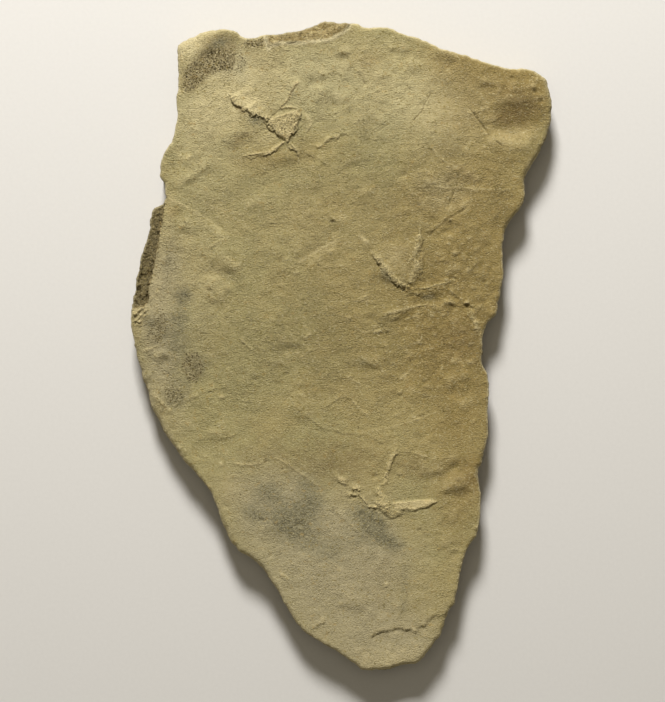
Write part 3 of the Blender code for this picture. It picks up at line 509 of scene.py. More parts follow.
# Small scattered bumps are thickest here: place, two half lengths, share.
BUMPY_AREAS = [
    (35.6, 22.0, 14.0, 18.0, 1.0),
    (30.9, 1.7, 16.0, 12.0, 0.9),
    (13.8, 8.0, 12.0, 10.0, 0.5),
    (49.7, 81.4, 12.0, 7.0, 0.7),
    (-12.8, -7.7, 20.0, 10.0, 0.4),
    (-3.4, 37.7, 10.0, 8.0, 0.4),
    (-50.3, 61.1, 6.0, 12.0, 0.4),
    (34.1, 54.8, 14.0, 8.0, 0.4),
]

# Where the face is lumpiest: place, two half lengths, extra share.
RUGGED_AREAS = [
    (34.1, 14.2, 20.0, 26.0, 0.9),
    (34.1, 45.5, 22.0, 14.0, 0.5),
    (16.9, -1.4, 20.0, 14.0, 0.5),
    (51.2, 78.3, 16.0, 10.0, 0.5),
    (-0.3, 83.0, 18.0, 10.0, 0.4),
    (-47.2, 67.3, 12.0, 14.0, 0.5),
    (-53.4, -23.3, 12.0, 14.0, 0.6),
    (27.8, -48.3, 16.0, 26.0, 0.2),
]

# Areas of each stain, film, bloom and patch of painted shade: place, two half lengths, turn in degrees,
# strength.
GREY_STAIN = [
    (-20.3, -50.8, 8.0, 9.0, -30.0, 0.20), (-12.2, -57.0, 9.0, 7.0, -30.0, 0.12),
    (12.2, -59.5, 8.0, 5.5, -40.0, 0.22), (-53.4, 26.1, 3.6, 4.4, 0.0, 0.55),
    (-49.7, 16.1, 3.4, 2.6, 0.0, 0.85), (-58.1, 6.1, 4.0, 4.2, 0.0, 0.75),
    (-50.3, 7.3, 3.8, 8.0, -10.0, 0.75), (-45.6, -6.4, 4.8, 5.0, 20.0, 0.85),
    (-51.6, -15.8, 4.6, 5.4, 20.0, 0.85), (-55.6, 33.0, 3.4, 4.0, 0.0, 0.35),
    (-59.7, 14.2, 2.6, 5.0, 0.0, 0.4), (-54.1, -1.4, 5.0, 6.0, 0.0, 0.45),
    (-22.8, -45.8, 5.6, 3.4, -25.0, 0.85), (-28.1, -52.3, 5.0, 3.6, -20.0, 0.8),
    (-17.2, -54.2, 6.0, 4.6, 0.0, 0.8), (-9.1, -49.8, 5.0, 6.6, 10.0, 0.85),
    (-12.8, -41.4, 6.6, 3.6, -30.0, 0.5), (-12.8, -60.8, 9.0, 5.0, -20.0, 0.6),
    (-3.4, -65.8, 7.0, 5.0, -20.0, 0.45), (10.6, -55.8, 4.4, 4.0, -30.0, 1.0),
    (16.2, -61.7, 4.6, 2.4, -25.0, 0.85), (5.9, -52.3, 5.0, 3.0, -10.0, 0.75),
    (4.4, -60.8, 8.0, 6.0, -20.0, 0.45), (20.0, -73.3, 2.0, 8.0, 0.0, 0.45),
    (19.1, -81.1, 1.8, 5.0, 0.0, 0.4), (27.8, -76.4, 5.0, 8.0, 10.0, 0.25),
    (-47.8, 75.5, 3.0, 3.6, 0.0, 0.45), (-24.7, 83.0, 7.0, 2.0, 15.0, 0.45),
    (-26.6, 70.0, 3.0, 2.2, -25.0, 1.0), (27.2, 14.8, 2.6, 1.5, 0.0, 0.5),
    (14.7, 20.8, 3.0, 1.4, -45.0, 0.6), (25.6, 21.4, 1.6, 2.6, 0.0, 0.3),
    (27.2, 15.5, 3.0, 1.4, 8.0, 0.3), (6.6, -5.2, 3.4, 1.8, -20.0, 0.5),
    (-38.1, 94.5, 4.6, 2.6, 20.0, 0.95), (-31.2, 89.2, 2.4, 4.6, 0.0, 0.6),
    (-43.4, 86.1, 4.0, 5.0, -35.0, 0.35), (-42.5, 68.0, 4.0, 4.0, 0.0, 0.15),
    (13.4, 23.6, 3.0, 2.0, -40.0, 0.4),
]
WARM_STAIN = [
    (51.2, 33.0, 22.0, 60.0, 6.0, 0.68), (9.1, 4.8, 34.0, 30.0, 0.0, 0.45),
    (40.3, 81.4, 20.0, 14.0, -15.0, 0.45), (37.2, -26.4, 14.0, 30.0, 10.0, 0.45),
    (-22.2, 58.6, 12.0, 5.0, 10.0, 0.45), (-3.4, 61.1, 10.0, 8.0, 0.0, 0.3),
    (-37.2, 66.7, 6.0, 4.0, 20.0, 0.25), (41.9, -39.5, 2.8, 4.0, -20.0, 0.7),
    (27.8, 45.5, 16.0, 14.0, 0.0, 0.35), (30.9, 11.1, 14.0, 18.0, 0.0, 0.4),
    (7.5, 89.2, 8.0, 4.0, 0.0, 0.5), (34.1, 87.7, 10.0, 5.0, -15.0, 0.3),
    (55.9, 78.3, 9.0, 9.0, 0.0, 0.8), (-52.8, 41.7, 3.5, 2.6, 0.0, 0.6),
    (-3.4, 43.9, 7.0, 6.0, 0.0, 0.35), (35.6, -54.5, 8.0, 12.0, 0.0, 0.3),
]
ASH_FILM = [
    (15.9, -95.2, 22.0, 12.0, 0.0, 0.7), (-5.0, -70.2, 30.0, 24.0, 0.0, 0.85),
    (-22.2, -48.3, 18.0, 12.0, -20.0, 0.6), (-57.2, -1.4, 8.0, 26.0, 10.0, 0.7),
    (-55.0, 25.2, 7.0, 14.0, 0.0, 0.5), (-36.2, 88.6, 14.0, 8.0, 0.0, 0.5),
    (30.9, 48.6, 12.0, 10.0, 0.0, 0.3), (15.9, 28.6, 6.0, 4.0, 0.0, 0.3),
    (5.9, -62.3, 14.0, 10.0, -20.0, 0.3),
]
PALE_BLOOM = [
    (16.9, -98.3, 18.0, 6.0, 0.0, 0.45), (-26.9, 84.5, 28.0, 16.0, 15.0, 0.30),
    (24.7, 78.3, 13.0, 14.0, 0.0, 0.30), (-30.0, 76.1, 7.0, 3.4, -20.0, 0.22),
    (-44.1, 70.5, 10.0, 6.0, 20.0, 0.25), (-48.1, 93.9, 3.0, 6.0, -40.0, 0.6),
    (-41.6, 96.7, 5.0, 2.4, 20.0, 0.6), (54.4, 66.4, 8.0, 3.5, 12.0, 0.4),
    (-52.5, 45.5, 4.0, 5.0, 0.0, 0.25), (-36.2, 25.2, 6.0, 3.5, 30.0, 0.2),
    (-6.6, 29.2, 8.0, 2.4, 28.0, 0.16), (15.9, 26.1, 6.0, 5.0, 0.0, 0.35),
    (-22.8, 64.5, 5.0, 3.0, 20.0, 0.4), (-28.4, 75.2, 6.0, 3.0, -35.0, 0.25),
    (6.6, 33.6, 2.4, 1.4, -30.0, 0.4),
]
CHALK_BLOOM = [
    (-12.8, 83.0, 40.0, 18.0, 6.0, 0.34), (-44.1, 67.3, 14.0, 18.0, 0.0, 0.24),
    (30.9, 72.0, 24.0, 16.0, -12.0, 0.26), (-47.2, 93.9, 5.0, 6.0, -40.0, 0.30),
    (-47.2, 14.2, 12.0, 30.0, 0.0, 0.26), (-31.6, 87.7, 2.4, 4.6, 0.0, 0.25),
    (-12.8, 39.2, 30.0, 20.0, 0.0, 0.14), (37.2, 42.3, 14.0, 14.0, 0.0, 0.12),
    (16.9, -96.7, 16.0, 8.0, 0.0, 0.14),
]
# Brown patches: partly a brown film, partly painted shade where the face falls away from the light.
UMBER_AND_SHADE = [
    (-38.1, 94.5, 5.6, 3.2, 20.0, 0.9), (-38.1, 89.5, 5.6, 3.6, 10.0, 0.9),
    (-45.6, 84.8, 5.0, 3.2, 45.0, 0.9), (-47.2, 81.1, 3.0, 3.0, 0.0, 0.4),
    (57.2, 74.2, 6.0, 3.6, 12.0, 0.85), (51.6, 71.1, 4.4, 3.0, -10.0, 0.7),
    (52.2, 79.8, 9.0, 4.0, 0.0, 0.55), (-30.3, 65.2, 5.0, 2.6, 24.0, 0.5),
    (-31.6, 74.2, 3.0, 1.1, -38.0, 0.75), (22.8, -38.3, 6.5, 5.0, 0.0, 0.45),
    (-17.5, 96.7, 10.0, 2.0, 4.0, 0.35), (-5.9, 97.7, 8.0, 2.4, 10.0, 0.6),
    (37.2, 1.7, 9.0, 9.0, 0.0, 0.6), (2.8, -35.2, 16.0, 9.0, 0.0, 0.42),
    (-3.4, -12.3, 16.0, 8.0, 0.0, 0.28), (-23.8, -34.2, 14.0, 9.0, 0.0, 0.33),
    (12.2, -73.3, 14.0, 14.0, 0.0, 0.25), (-5.0, -38.9, 14.0, 10.0, 0.0, 0.25),
    (35.6, -51.4, 9.0, 14.0, 0.0, 0.35), (40.3, -41.4, 6.0, 5.0, 0.0, 0.4),
    (32.2, 38.6, 6.0, 1.6, 35.0, 0.4), (39.1, 53.9, 6.0, 2.0, -35.0, 0.4),
]

# Porous patches: strength, outline.
POROUS_PATCH = [
    (0.72, [
        (-41.9, 92.3), (-39.1, 93.1), (-35.9, 92.3), (-33.1, 91.1), (-32.7, 88.3), (-34.1, 86.1),
        (-37.2, 86.4), (-40.3, 85.3), (-42.2, 87.3),
    ]),
    (0.60, [
        (-48.4, 87.3), (-45.9, 89.2), (-42.8, 89.8), (-40.9, 87.3), (-41.2, 84.7), (-44.1, 81.4),
        (-47.2, 79.4), (-48.8, 79.7), (-49.4, 83.0),
    ]),
    (0.56, [
        (-30.3, 94.8), (-28.4, 96.1), (-25.3, 96.5), (-21.9, 96.6), (-21.6, 94.8), (-23.4, 93.6),
        (-26.6, 92.8), (-29.4, 92.8),
    ]),
    (0.30, [(-32.8, 91.1), (-30.6, 91.7), (-29.7, 89.2), (-30.6, 86.1), (-32.2, 85.5), (-32.8, 88.0)]),
    (0.40, [(-59.1, 8.6), (-55.0, 10.5), (-54.7, 4.8), (-56.6, 0.2), (-60.9, 1.7)]),
    (0.45, [
        (-49.1, -2.0), (-45.3, -2.0), (-42.5, -5.2), (-42.8, -8.9), (-45.3, -12.0), (-48.1, -11.4),
        (-50.0, -7.0),
    ]),
    (0.35, [(-55.9, -13.3), (-52.2, -12.0), (-49.1, -14.5), (-50.3, -18.0), (-54.1, -18.3)]),
]

# Rounding of the rim where it is worn more than elsewhere: place, reach, extra width.
WORN_RIM = [
    (-50.3, 93.9, 9.0, 1.2), (-42.5, 98.3, 8.0, 1.0), (63.8, 79.8, 8.0, 1.2), (60.0, 56.4, 7.0, 1.0),
    (52.2, 38.6, 5.0, 1.0), (-59.7, -12.3, 9.0, 1.4), (-55.0, -21.7, 9.0, 1.6), (-47.2, -32.7, 8.0, 1.2),
    (-33.1, -54.5, 9.0, 0.9), (-26.9, -68.6, 9.0, 0.9), (42.8, -38.9, 5.0, 0.8), (18.4, -99.8, 9.0, 0.9),
    (32.5, -90.5, 8.0, 0.5), (-55.6, 56.4, 4.0, 0.8), (5.9, 99.8, 6.0, 0.6), (45.0, 0.2, 5.0, 0.4),
]


# ---------------------------------------------------------------------------------------------------------
# Measuring on the face, all in millimetres.


def rng(seed):
    return np.random.default_rng(seed)


def closed(loop):
    """A loop's points with the first again at the end."""
    return np.vstack([loop, loop[:1]])


def even_points(line, step):
    """Points at even steps along a line's straight pieces, with both its ends."""
    run = np.concatenate([[0.0], np.cumsum(np.linalg.norm(np.diff(line, axis=0), axis=1))])
    places = np.linspace(0.0, run[-1], max(int(run[-1] / step), 1) + 1)
    return np.column_stack([np.interp(places, run, line[:, k]) for k in (0, 1)])


def resampled(line, step):
    """Points at even steps along a line, on a smooth curve through its points."""
    line = np.asarray(line, float)
    ends = np.vstack([2 * line[0] - line[1], line, 2 * line[-1] - line[-2]])
    p0, p1, p2, p3 = ends[:-3], ends[1:-2], ends[2:-1], ends[3:]
    t = np.linspace(0.0, 1.0, 9)[:-1][None, :, None]
    p0, p1, p2, p3 = (p[:, None, :] for p in (p0, p1, p2, p3))
    square, cube = 2 * p0 - 5 * p1 + 4 * p2 - p3, 3 * p1 - p0 - 3 * p2 + p3
    curve = 0.5 * (2 * p1 + (p2 - p0) * t + square * t**2 + cube * t**3)
    return even_points(np.vstack([curve.reshape(-1, 2), line[-1]]), step)


def from_line(xy, line):
    """Each point's distance from a line, its side (left is positive) and its share of the line's run."""
    starts, steps = line[:-1], np.diff(line, axis=0)
    lengths = np.maximum(np.linalg.norm(steps, axis=1), 1e-9)
    before = np.concatenate([[0.0], np.cumsum(lengths)])
    best = np.full(len(xy), np.inf)
    side = np.zeros(len(xy))
    run = np.zeros(len(xy))
    for start, step, length, offset in zip(starts, steps, lengths, before):
        away = xy - start
        share = np.clip(away @ step / length**2, 0.0, 1.0)
        gap = np.hypot(away[:, 0] - share * step[0], away[:, 1] - share * step[1])
        nearer = gap < best
        best[nearer] = gap[nearer]
        side[nearer] = (step[0] * away[:, 1] - step[1] * away[:, 0])[nearer]
        run[nearer] = (offset + share * length)[nearer]
    return best, np.sign(side), run / before[-1]


def inside(xy, polygon):
    """Which points are inside a polygon."""
    count = np.zeros(len(xy), int)
    for (x0, y0), (x1, y1) in zip(polygon, np.roll(polygon, -1, axis=0)):
        if y0 == y1:
            continue
        between = (xy[:, 1] > min(y0, y1)) & (xy[:, 1] <= max(y0, y1))
        crossing = x0 + (xy[:, 1] - y0) * (x1 - x0) / (y1 - y0)
        count += between & (xy[:, 0] < crossing)
    return count % 2 == 1


def depth_inside(xy, polygon):
    """Each point's distance from a polygon's edge, positive inside it."""
    polygon = np.asarray(polygon, float)
    gap, _, _ = from_line(xy, closed(polygon))
    return np.where(inside(xy, polygon), gap, -gap)


def smooth(value):
    """Eases from 0 to 1, and stays there."""
    value = np.clip(value, 0.0, 1.0)
    return value * value * (3.0 - 2.0 * value)


def terraced(value, edge):
    """Whole steps instead of a slope, each risen over this share of its length."""
    whole = np.floor(value)
    return whole + smooth((value - whole) / edge)


def grain(xy, size, seed):
    """Smooth random values between -1 and 1, which change about once in each size."""
    cells = xy / size
    low = np.floor(cells).astype(int)
    part = smooth(cells - low)
    table = rng(seed).uniform(-1.0, 1.0, (512, 512))

    def corner(i, j):
        return table[(low[:, 0] + i) % 512, (low[:, 1] + j) % 512]

    lower = corner(0, 0) * (1 - part[:, 0]) + corner(1, 0) * part[:, 0]
    upper = corner(0, 1) * (1 - part[:, 0]) + corner(1, 1) * part[:, 0]
    return lower * (1 - part[:, 1]) + upper * part[:, 1]


def crumbs(xy, size, seed):
    """Packed crumbs: a small dome for each, from 0 to 1 and each of its own height."""
    cells = xy / size
    low = np.floor(cells).astype(int)
    table = rng(seed).uniform(0.0, 1.0, (256, 256, 3))
    nearest = np.full(len(xy), np.inf)
    tall = np.zeros(len(xy))
    for i in (-1, 0, 1):
        for j in (-1, 0, 1):
            seeds = table[(low[:, 0] + i) % 256, (low[:, 1] + j) % 256]
            gap = np.hypot(*(low + (i, j) + seeds[:, :2] - cells).T)
            tall = np.where(gap < nearest, seeds[:, 2], tall)
            nearest = np.minimum(gap, nearest)
    return tall * np.maximum(1.0 - 1.1 * nearest**2, 0.0)


def blot(xy, x, y, half_x, half_y, turn):
    """A soft oval that is 1 in its middle."""
    angle = math.radians(turn)
    dx, dy = xy[:, 0] - x, xy[:, 1] - y
    across = (dx * math.cos(angle) + dy * math.sin(angle)) / half_x
    along = (dy * math.cos(angle) - dx * math.sin(angle)) / half_y
    return np.exp(-(across**2 + along**2))


# Stains, and patches of painted shade, by the mask that each is laid in.
STAINS = {
    "grey": GREY_STAIN, "warm": WARM_STAIN, "ash": ASH_FILM,
    "pale_and_highlight": PALE_BLOOM, "umber_and_shade": UMBER_AND_SHADE, "chalk": CHALK_BLOOM,
}
# Some of these masks carry painted light: shade below the steps and in cracks, pits and hollows, and
# highlights on crests, toes, bumps, step lips and the rim's edge.
MASKS = (
    "plain", "crumb", "porous", "painted_shade", "wear_and_highlight", "rough", "crest", "hollow_shade", "broken", "side", "ledge",
    *STAINS,
)
EVERYWHERE = slice(None)  # chooses every point of the face


class Face:
    """Heights and surface masks at points of the track face, built up feature by feature."""

    def __init__(self, xy, rim):
        self.xy = xy
        self.rim = rim
        self.height = np.full(len(xy), FACE_LEVEL)
        self.masks = {name: np.zeros(len(xy)) for name in MASKS}

    def near(self, line, reach):
        """The points in a box round a line, or round one place, which leaves this much room."""
        line = np.atleast_2d(line)
        low, high = line.min(axis=0) - reach, line.max(axis=0) + reach
        return np.flatnonzero(((self.xy > low) & (self.xy < high)).all(axis=1))

    def tried_places(self, random, count):
        """This many random places over the face."""
        return random.uniform(self.xy.min(axis=0), self.xy.max(axis=0), (count, 2))

    def measured(self, line, reach, ends=0.12):
        """The points within reach of a line, with their distance, side and taper towards its ends."""
        line = resampled(line, LINE_STEP)
        chosen = self.near(line, reach)
        gap, side, share = from_line(self.xy[chosen], line)
        taper = smooth(share / ends) * smooth((1.0 - share) / ends)
        taper = np.maximum(taper, END_SHARE)
        return chosen, gap, side, taper

    def raise_mask(self, name, chosen, value):
        """Sets a mask to this where it is less."""
        self.masks[name][chosen] = np.maximum(self.masks[name][chosen], value)

    def add_toe(self, half_width, height, crumb, line):
        """A rounded ridge, which is broken up into crumbs where it is crumbly."""
        chosen, gap, _, taper = self.measured(line, 3.0 * half_width)
        xy = self.xy[chosen]
        gap = np.maximum(gap + 0.25 * crumb * grain(xy, 1.3, 3) + 0.12 * grain(xy, 0.6, 4), 0.0)
        width = half_width * (1.0 + crumb * 0.5 * grain(xy, 1.9, 5))
        bump = np.exp(-((gap / width) ** 2) * 1.6)
        lumps = (crumbs(xy, 1.0, 6) + 0.8 * crumbs(xy, 0.52, 7)) * smooth(0.65 + 1.1 * grain(xy, 2.0, 23))
        self.height[chosen] += height * taper * bump * (1.0 - 0.85 * crumb + 2.1 * crumb * lumps)
        self.raise_mask("crumb", chosen, crumb * bump**0.5)
        # Paler toes: partly bloom, partly a painted highlight on their lit tops and crumbs.
        self.raise_mask("pale_and_highlight", chosen, bump * taper * (0.55 - 0.45 * crumb + 0.9 * crumb * lumps))

    def add_pad(self, height, softness, crumb, pale_and_highlight, outline):
        """A flat pad with an edge as sharp as its softness."""
        outline = np.asarray(outline, float)
        chosen = self.near(outline, softness)
        xy = self.xy[chosen]
        depth = depth_inside(xy, outline) + 0.14 * grain(xy, 1.1, 8) + 0.12 * grain(xy, 0.55, 18)
        top = smooth(0.5 + 0.5 * depth / softness)
        lumps = crumbs(xy, 0.66, 9) + 0.6 * crumbs(xy, 0.42, 10) - 0.25
        self.height[chosen] += top * (height + 0.35 * crumb * lumps)
        self.raise_mask("crumb", chosen, crumb * top)
        # Paler pad: partly bloom, partly a painted highlight on its crumbs.
        self.raise_mask("pale_and_highlight", chosen, top * (pale_and_highlight + 0.7 * crumb * lumps))

    def add_step(self, height, fade, ragged, line):
        """A sharp drop to the right of a line, from a raised side that fades back to the plain face."""
        chosen, gap, side, taper = self.measured(line, 3.5 * fade)
        xy = self.xy[chosen]
        signed = gap * side + 0.2 + ragged * (0.50 * grain(xy, 1.4, 11) + 0.50 * grain(xy, 0.55, 12))
        taper = smooth((taper - END_SHARE) / (1.0 - END_SHARE))
        taper = np.maximum(taper, 0.3 * np.exp(-((signed / 0.8) ** 2)))
        taper = taper * np.clip(0.95 + 0.7 * ragged * grain(xy, 1.9, 15), 0.4, 1.3)
        rise = smooth(0.5 + signed / (0.4 + 0.2 * grain(xy, 1.9, 16)))
        edge = ragged * rise * np.exp(-(((signed - 0.3) / 0.6) ** 2))
        lumps = crumbs(xy, 0.9, 14) + 0.7 * crumbs(xy, 0.5, 27) - 0.35
        self.height[chosen] += height * taper * rise * np.exp(-np.maximum(signed, 0.0) / fade)
        self.height[chosen] += 0.8 * min(height, 0.4) * taper * edge * lumps
        trough = 0.25 * height * taper * (1.0 - rise)
        self.height[chosen] -= trough * np.exp(-np.maximum(-signed, 0.0) / 0.8)
        # Painted shadow just below the drop, and a painted highlight along the raised lip above it.
        shade = min(0.8, 1.2 * height) * taper * (0.75 + 0.6 * grain(xy, 0.9, 24))
        self.raise_mask("painted_shade", chosen, shade * np.exp(-(((signed + 0.22) / (0.24 + 0.2 * height)) ** 2)))
        lip = min(0.6, 1.4 * height) * taper
        self.raise_mask("pale_and_highlight", chosen, lip * np.exp(-(((signed - 0.4) / 0.3) ** 2)))
        self.raise_mask("crumb", chosen, min(0.8, 2.0 * height) * taper * edge)

    def add_crack(self, width, depth, line):
        """A narrow groove, whose line wanders a little."""
        chosen, gap, side, taper = self.measured(line, 4.0 * width)
        xy = self.xy[chosen]
        gap = gap * side + 0.14 * grain(xy, 0.9, 13) + 0.10 * grain(xy, 0.45, 25)
        taper = taper * (0.8 + 0.5 * grain(xy, 1.4, 26))
        groove = np.exp(-((gap / width) ** 2))
        self.height[chosen] -= depth * taper * groove
        # Painted shade along the groove.
        self.raise_mask("painted_shade", chosen, min(1.0, 4.0 * depth) * taper * groove)

    def add_ridge(self, half_width, height, line, pale_and_highlight=0.5):
        """A thin raised line, rubbed paler, with a painted highlight along its crest."""
        chosen, gap, _, taper = self.measured(line, 3.0 * half_width)
        crest = np.exp(-((gap / half_width) ** 2))
        self.height[chosen] += height * taper * crest * (1.0 + 0.4 * grain(self.xy[chosen], 1.3, 17))
        self.raise_mask("pale_and_highlight", chosen, pale_and_highlight * crest * taper)

    def add_fold(self, width, height, line):
        """A soft fold: a swell on the left of its line and a hollow on the right."""
        chosen, gap, side, taper = self.measured(line, 3.5 * width, 0.35)
        xy = self.xy[chosen]
        signed = (gap * side + 0.35 * grain(xy, 3.1, 19)) / (width * (1.15 + 0.3 * grain(xy, 4.3, 20)))
        ends = smooth((taper - END_SHARE) / (1.0 - END_SHARE)) * (0.85 + 0.5 * grain(xy, 2.7, 22))
        self.height[chosen] += 1.2 * height * ends * signed * np.exp(0.5 - 0.5 * np.abs(signed) ** 1.5)

    def add_swell(self, x, y, half_x, half_y, turn, height):
        """A broad soft oval, raised or sunk."""
        self.height += height * blot(self.xy, x, y, half_x, half_y, turn)

    def add_dot(self, x, y, radius, height):
        """A single bump, or a pit where its height is below 0."""
        chosen = self.near((x, y), 2.5 * radius)
        spot = blot(self.xy[chosen], x, y, radius, radius * 0.8, 0.0)
        self.height[chosen] += 1.35 * height * spot
        # Painted highlight on a bump, painted shade in a pit.
        shade, depth = ("painted_shade", -2.0 * height) if height < 0 else ("pale_and_highlight", 1.4 * height)
        self.raise_mask(shade, chosen, min(1.0, depth) * spot)

    def scatter_bumps(self):
        """Small bumps and pits, thick in the bumpy areas and thin elsewhere."""
        random = rng(29)
        places = self.tried_places(random, BUMP_COUNT)
        share = np.full(len(places), 0.10)
        for x, y, half_x, half_y, strength in BUMPY_AREAS:
            share = np.maximum(share, strength * blot(places, x, y, half_x, half_y, 0.0))
        for (x, y), chance in zip(places, share):
            radius, height = random.uniform(0.25, 0.65), random.normal(0.03, 0.19)
            turn = random.uniform(-20.0, 30.0)
            if random.uniform() > chance:
                continue
            chosen = self.near((x, y), 3.0 * radius)
            spot = smooth(1.7 * blot(self.xy[chosen], x, y, 1.5 * radius, 0.9 * radius, turn) - 0.2)
            self.height[chosen] += height * spot
            # Painted highlight on each bump and painted shade in each pit.
            self.raise_mask("painted_shade" if height < 0 else "pale_and_highlight", chosen, abs(height) * spot)

    def scatter_creases(self):
        """Fine creases and wrinkles, which run as the folds do."""
        random = rng(31)
        shares = np.linspace(-0.5, 0.5, 5)[:, None]
        for place in self.tried_places(random, CREASE_COUNT):
            length = random.uniform(1.2, 4.5)
            turn = math.radians(self.run_of_folds(place[0]) + random.normal(0.0, 32.0))
            along = np.array([math.cos(turn), math.sin(turn)]) * random.choice((-1.0, 1.0))
            across = np.array([-along[1], along[0]])
            line = place + along * length * shares + across * random.normal(0.0, 0.07, (5, 1)) * length
            if random.uniform() < 0.5:
                self.add_ridge(random.uniform(0.20, 0.42), random.uniform(0.02, 0.07), line, 0.2)
            else:
                self.add_step(random.uniform(0.02, 0.07), random.uniform(1.0, 2.2), 0.6, line)

    def run_of_folds(self, x):
        """The folds' turn in degrees: they droop to the right on the slab's left and climb on its right."""
        return np.interp(x, FOLD_RUN_PLACES, FOLD_RUN_TURNS)

    def scatter_folds(self, share):
        """Low swells and hollows, long along the folds' run, a few of them much bolder than the rest."""
        random = rng(33)
        for x, y in self.tried_places(random, FOLD_COUNT):
            length, width = random.uniform(1.2, 4.2), random.uniform(0.55, 1.35)
            turn = self.run_of_folds(x) + random.normal(0.0, 20.0)
            height = np.clip(0.045 * random.standard_t(3), -0.22, 0.22)
            chosen = self.near((x, y), 2.4 * length)
            spot = blot(self.xy[chosen], x, y, length, width, turn)
            self.height[chosen] += height * spot * share[chosen]

    def roughen(self):
        """Lumps a few millimetres across, boldest in the rugged areas, and low steps of flaked beds."""
        share = np.interp(self.xy[:, 1], ROUGH_PLACES, ROUGH_SHARES)
        patches, spots = 1.0 + 0.25 * grain(self.xy, 7.0, 95), 1.0 + 0.25 * grain(self.xy, 2.4, 96)
        self.masks["rough"] = 1.05 * share**1.3 * patches * spots
        for x, y, half_x, half_y, strength in RUGGED_AREAS:
            share = share + strength * blot(self.xy, x, y, half_x, half_y, 0.0)
        share = share * (1.0 + 0.5 * grain(self.xy, 9.0, 99))
        self.scatter_folds(1.2 * share)
        for number, (size, height) in enumerate(LUMPS):
            angle = math.radians(14.0 + 31.0 * number)
            cosine, sine = math.cos(angle), math.sin(angle)
            turned = self.xy @ np.array([[cosine, -sine], [sine, cosine]])
            self.height += share * height * grain(turned, size, 101 + number)
            lumps = np.abs(grain(turned + 60.0, size, 151 + number))
            self.height += 1.3 * share * height * (lumps - 0.35)
        for size, step, seed in TERRACES:
            tilt = grain(self.xy, size, seed) + 0.5 * grain(self.xy, 0.45 * size, seed + 10)
            tilt = tilt + 0.2 * grain(self.xy, 0.2 * size, seed + 20)
            beds = 5.0 * tilt
            where = smooth(0.5 + 1.8 * grain(self.xy, 15.0, seed + 30))
            self.height += step * share * where * (terraced(beds, 0.14) - beds)

    def find_hollows(self):
        """Marks what stands above its surroundings, for a painted highlight, and what lies below, for
        painted shade.
        """
        low = self.xy.min(axis=0)
        spots = ((self.xy - low) / HOLLOW_CELL).astype(int) + HOLLOW_REACH
        wide, tall = spots.max(axis=0) + HOLLOW_REACH + 1
        index = spots[:, 0] * tall + spots[:, 1]
        weights = np.exp(-0.5 * (np.arange(-HOLLOW_REACH, HOLLOW_REACH + 1) / (HOLLOW_REACH / 2.5)) ** 2)
        totals = []
        for values in (self.height, np.ones(len(self.xy))):
            cells = np.bincount(index, values, wide * tall).reshape(wide, tall)
            for axis in (0, 1):
                shifts = range(-HOLLOW_REACH, HOLLOW_REACH + 1)
                cells = sum(weight * np.roll(cells, shift, axis) for shift, weight in zip(shifts, weights))
            totals.append(cells.ravel()[index])
        above = (self.height - totals[0] / totals[1]) / HOLLOW_DEPTH
        self.masks["crest"], self.masks["hollow_shade"] = np.maximum(above, 0.0), np.maximum(-above, 0.0)

    def break_ledge(self):
        """The ledge at the left: the upper bed ends in a short cliff, above a rough floor."""
        outline = np.vstack([LEDGE_LINE, LEDGE_OUTSIDE])
        ragged = 0.28 * grain(self.xy, 1.5, 37) + 0.22 * grain(self.xy, 0.7, 38)
        depth = depth_inside(self.xy, outline) + ragged
        past = smooth(depth / 0.45)
        floor = LEDGE_LEVEL - LEDGE_FALL * np.maximum(depth, 0.0)
        floor = floor + 0.30 * grain(self.xy * (0.6, 1.0), 1.1, 39) + 0.30 * grain(self.xy, 0.6, 40)
        shelf = smooth((depth - 0.3) / 1.6) * smooth((self.xy[:, 1] - 9.0) / 4.0)
        floor = floor + LEDGE_SILL * (1.0 - shelf)
        self.height = self.height * (1.0 - past) + np.minimum(floor, self.height) * past
        self.raise_mask("broken", EVERYWHERE, smooth((depth + 0.15) / 0.4))
        self.masks["ledge"] = smooth((depth - 0.1) / 0.5)
        for cleft in LEDGE_CRACKS:
            self.add_crack(*cleft)
        for flake in LEDGE_FLAKES:
            self.add_toe(*flake)

    def break_chip(self):
        """The bevel at the top edge, which falls away from a ridge line."""
        outline = np.vstack([CHIP_LINE, CHIP_OUTSIDE])
        depth = depth_inside(self.xy, outline)
        down = np.maximum(depth, 0.0)
        rough = 0.35 * grain(self.xy, 1.8, 41) + 0.2 * grain(self.xy, 0.8, 42)
        beds = (down + 0.6 * np.minimum(down, 1.0) * grain(self.xy, 2.2, 43)) / CHIP_BED
        fall = CHIP_FALL * CHIP_BED * (0.35 * beds + 0.65 * terraced(beds, 0.35))
        self.height -= fall - np.minimum(down, 1.0) * rough
        self.raise_mask("broken", EVERYWHERE, smooth(depth / 0.7))
        self.raise_mask("wear_and_highlight", EVERYWHERE, 1.1 * np.exp(-(((depth - 0.15) / 0.75) ** 2)))

    def break_flake(self):
        """The thin flake that has come off the tip, and the shade along its broken dashes."""
        outline = np.vstack([FLAKE_LINE, FLAKE_OUTSIDE])
        depth = depth_inside(self.xy, outline)
        depth = depth + 0.35 * grain(self.xy, 1.6, 43) + 0.30 * grain(self.xy, 0.6, 44)
        start = smooth((self.xy[:, 0] - FLAKE_START) / 3.0) * (0.7 + 0.6 * grain(self.xy, 2.6, 45))
        self.height -= FLAKE_DEPTH * start * smooth(depth / 0.4) * np.exp(-np.maximum(depth, 0.0) / 6.0)
        dashes = start * (0.6 + 0.7 * grain(self.xy, 0.9, 46))
        self.raise_mask("painted_shade", EVERYWHERE, dashes * np.exp(-(((depth - 0.15) / 0.24) ** 2)))

